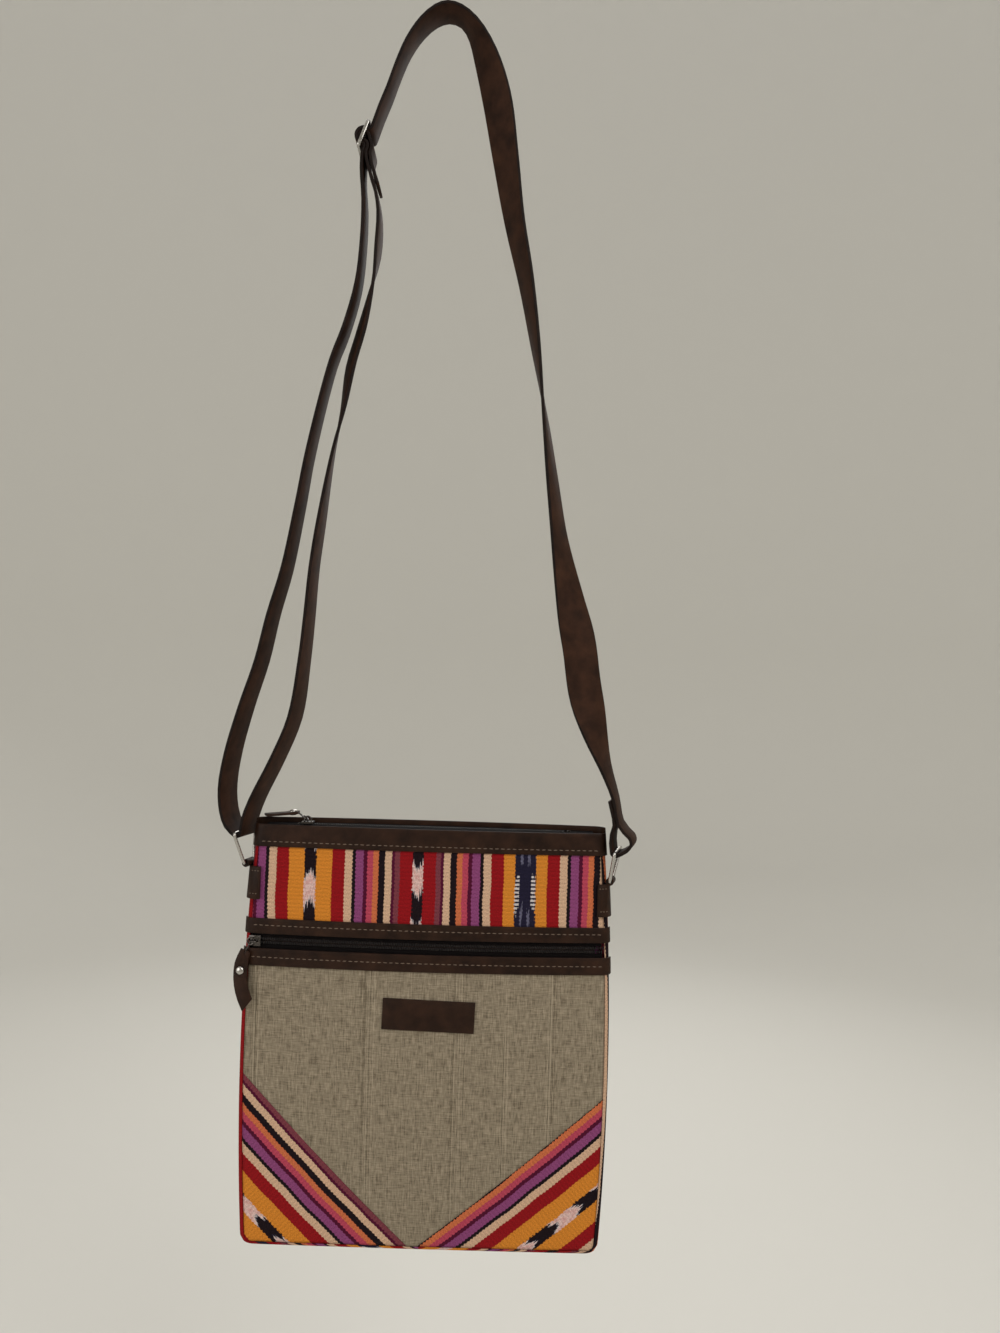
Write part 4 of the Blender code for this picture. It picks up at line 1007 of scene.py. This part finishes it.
class BAG_OT_metal(bpy.types.Operator):
    """Sliders, links, rivets, stops, rings and the strap's slide"""

    bl_idname = "bag.metal"
    bl_label = "Metal"

    def execute(self, context):
        for side in ("left", "right"):
            wire_copy(f"ring_{side}_wire", f"ring_{side}", metal(), f"ring_{side}")
            repaint(f"top_stop_{side}", dark_metal())
        for zip_name in ("top", "pocket"):
            slider, pull = f"{zip_name}_slider", f"{zip_name}_pull"
            panel_copy(f"{slider}_body", slider, dark_metal(), slider, SLIDER_EDGE, 1)
            panel_copy(f"{pull}_eye", f"{pull}_link", dark_metal(), pull, EYE_EDGE, 1, 60.0)
            panel_copy(f"{pull}_stud", f"{pull}_rivet", metal(), pull, SLIDER_EDGE)
        panel_copy("strap_slide", "strap_adjuster", metal(), "strap", STRAP_EDGE, 3)
        return {"FINISHED"}


class BAG_OT_pulls(bpy.types.Operator):
    """Leather pulls of both zips"""

    bl_idname = "bag.pulls"
    bl_label = "Pulls"

    def execute(self, context):
        for zip_name in ("top", "pocket"):
            pull = f"{zip_name}_pull"
            panel_copy(f"{pull}_leather", pull, leather(), pull, sizes().leather_edge)
        return {"FINISHED"}


class BAG_OT_strap(bpy.types.Operator):
    """The long leather strap, with dark cut edges"""

    bl_idname = "bag.strap"
    bl_label = "Strap"

    def execute(self, context):
        bm = bmesh.new()
        bm.from_mesh(NODES["strap"].data)
        bmesh.ops.remove_doubles(bm, verts=bm.verts, dist=TOUCHING)
        bmesh.ops.join_triangles(bm, faces=bm.faces, angle_face_threshold=math.pi,
                                 angle_shape_threshold=math.pi)
        sharp = [edge for edge in bm.edges if edge.is_manifold and edge.calc_face_angle() > STRAP_ANGLE]
        bmesh.ops.bevel(bm, geom=sharp, offset=STRAP_EDGE, offset_type="OFFSET", affect="EDGES", segments=2,
                        profile=0.5, material=-1)
        for face in bm.faces:
            if max(edge.calc_length() for edge in face.edges) < LONGEST_CUT_FACE:
                face.material_index = 1
        faces = once("strap_hide", lambda name: make_leather(name, "strap", roughness=0.75))
        edges = once("strap_edge_paint", lambda name: make_leather(name, "strap_edge", roughness=0.65))
        keep("strap_band", bm, faces, "strap", ("strap",), edges)
        return {"FINISHED"}


class BAG_OT_stitching(bpy.types.Operator):
    """Rows of stitches on bands, strips and tabs"""

    bl_idname = "bag.stitching"
    bl_label = "Stitching"

    def execute(self, context):
        rows = {
            "top_band_front_stitches": (0.0, BAND_STITCHES),
            "top_band_back_stitches": (1.0, BAND_STITCHES),
            "pocket_strip_upper_stitches": (0.0, UPPER_STITCHES),
            "pocket_strip_lower_stitches": (0.0, LOWER_STITCHES),
        }
        for name, (around, height) in rows.items():
            bm = bmesh.new()
            middle = girth(height) * around
            self.row(bm, middle, half_width(height) - EDGE_RADIUS, height, LEATHER_FACE)
            keep(name, bm, thread(), "bag")
        for side, sign in (("left", -1), ("right", 1)):
            bm = bmesh.new()
            for height in (TAB_TOPS[side] - TAB_STITCH_DROP, TAB_BOTTOMS[side] + TAB_STITCH_RISE):
                middle = half_width(height) - TAB_WRAP / 2 - TAB_STITCH_INSET
                self.row(bm, sign * middle, TAB_STITCH_HALF, height, TAB_FACE, TAB_STITCH_PITCH)
            keep(f"tab_{side}_stitches", bm, thread(), "bag")
        return {"FINISHED"}

    @staticmethod
    def row(bm, middle, half, height, offset, pitch=0.0):
        """Stitches along a level line round the bag."""
        measures = sizes()
        pitch = pitch or measures.stitch_pitch
        count = max(2, round(2 * half / pitch))
        length = min(measures.stitch_length, pitch * 0.75)
        for k in range(count):
            along = middle - half + (k + 0.5) * 2 * half / count
            run, up, out = bag_axes(along, height, offset)
            run = (run + up * STITCH_SLANT * (-1) ** k).normalized()
            turn = Matrix((run, out.cross(run), out)).transposed().to_4x4()
            shape = Matrix.Diagonal((length, measures.thread, measures.thread * 0.8, 1.0))
            spot = Matrix.Translation(bag_point(along, height, offset + STITCH_LIFT))
            bmesh.ops.create_uvsphere(bm, u_segments=8, v_segments=5, radius=0.5,
                                      matrix=spot @ turn @ shape)


class BAG_OT_lining(bpy.types.Operator):
    """Cloth of the two inner bags"""

    bl_idname = "bag.lining"
    bl_label = "Lining"

    def execute(self, context):
        material = once("inner_cloth", lambda name: make_cloth(name, "lining"))
        for node in ("main_lining", "pocket_lining"):
            repaint(node, material)
        return {"FINISHED"}


class BAG_PT_panel(bpy.types.Panel):
    """Sidebar panel with the bag's pieces, sizes and colours"""

    bl_idname = "BAG_PT_panel"
    bl_label = "Crossbody bag"
    bl_space_type = "VIEW_3D"
    bl_region_type = "UI"
    bl_category = "Bag"

    def draw(self, context):
        for operator in OPERATORS:
            self.layout.operator(operator.bl_idname)
        for group in (context.scene.bag_sizes, context.scene.bag_colours):
            box = self.layout.box()
            for name in group.__annotations__:
                box.prop(group, name)


OPERATORS = (
    BAG_OT_stage, BAG_OT_front_cloth, BAG_OT_back_cloth, BAG_OT_leather, BAG_OT_zips, BAG_OT_metal,
    BAG_OT_pulls, BAG_OT_strap, BAG_OT_stitching, BAG_OT_lining,
)
CLASSES = (BagSizes, BagColours) + OPERATORS + (BAG_PT_panel,)


def register():
    for cls in CLASSES:
        bpy.utils.register_class(cls)
    bpy.types.Scene.bag_sizes = bpy.props.PointerProperty(type=BagSizes)
    bpy.types.Scene.bag_colours = bpy.props.PointerProperty(type=BagColours)


def unregister():
    del bpy.types.Scene.bag_colours
    del bpy.types.Scene.bag_sizes
    for cls in reversed(CLASSES):
        bpy.utils.unregister_class(cls)


def main():
    register()
    bpy.ops.bag.stage()
    bpy.ops.bag.front_cloth()
    bpy.ops.bag.back_cloth()
    bpy.ops.bag.leather()
    bpy.ops.bag.zips()
    bpy.ops.bag.metal()
    bpy.ops.bag.pulls()
    bpy.ops.bag.strap()
    bpy.ops.bag.stitching()
    bpy.ops.bag.lining()


if __name__ == "__main__":
    main()
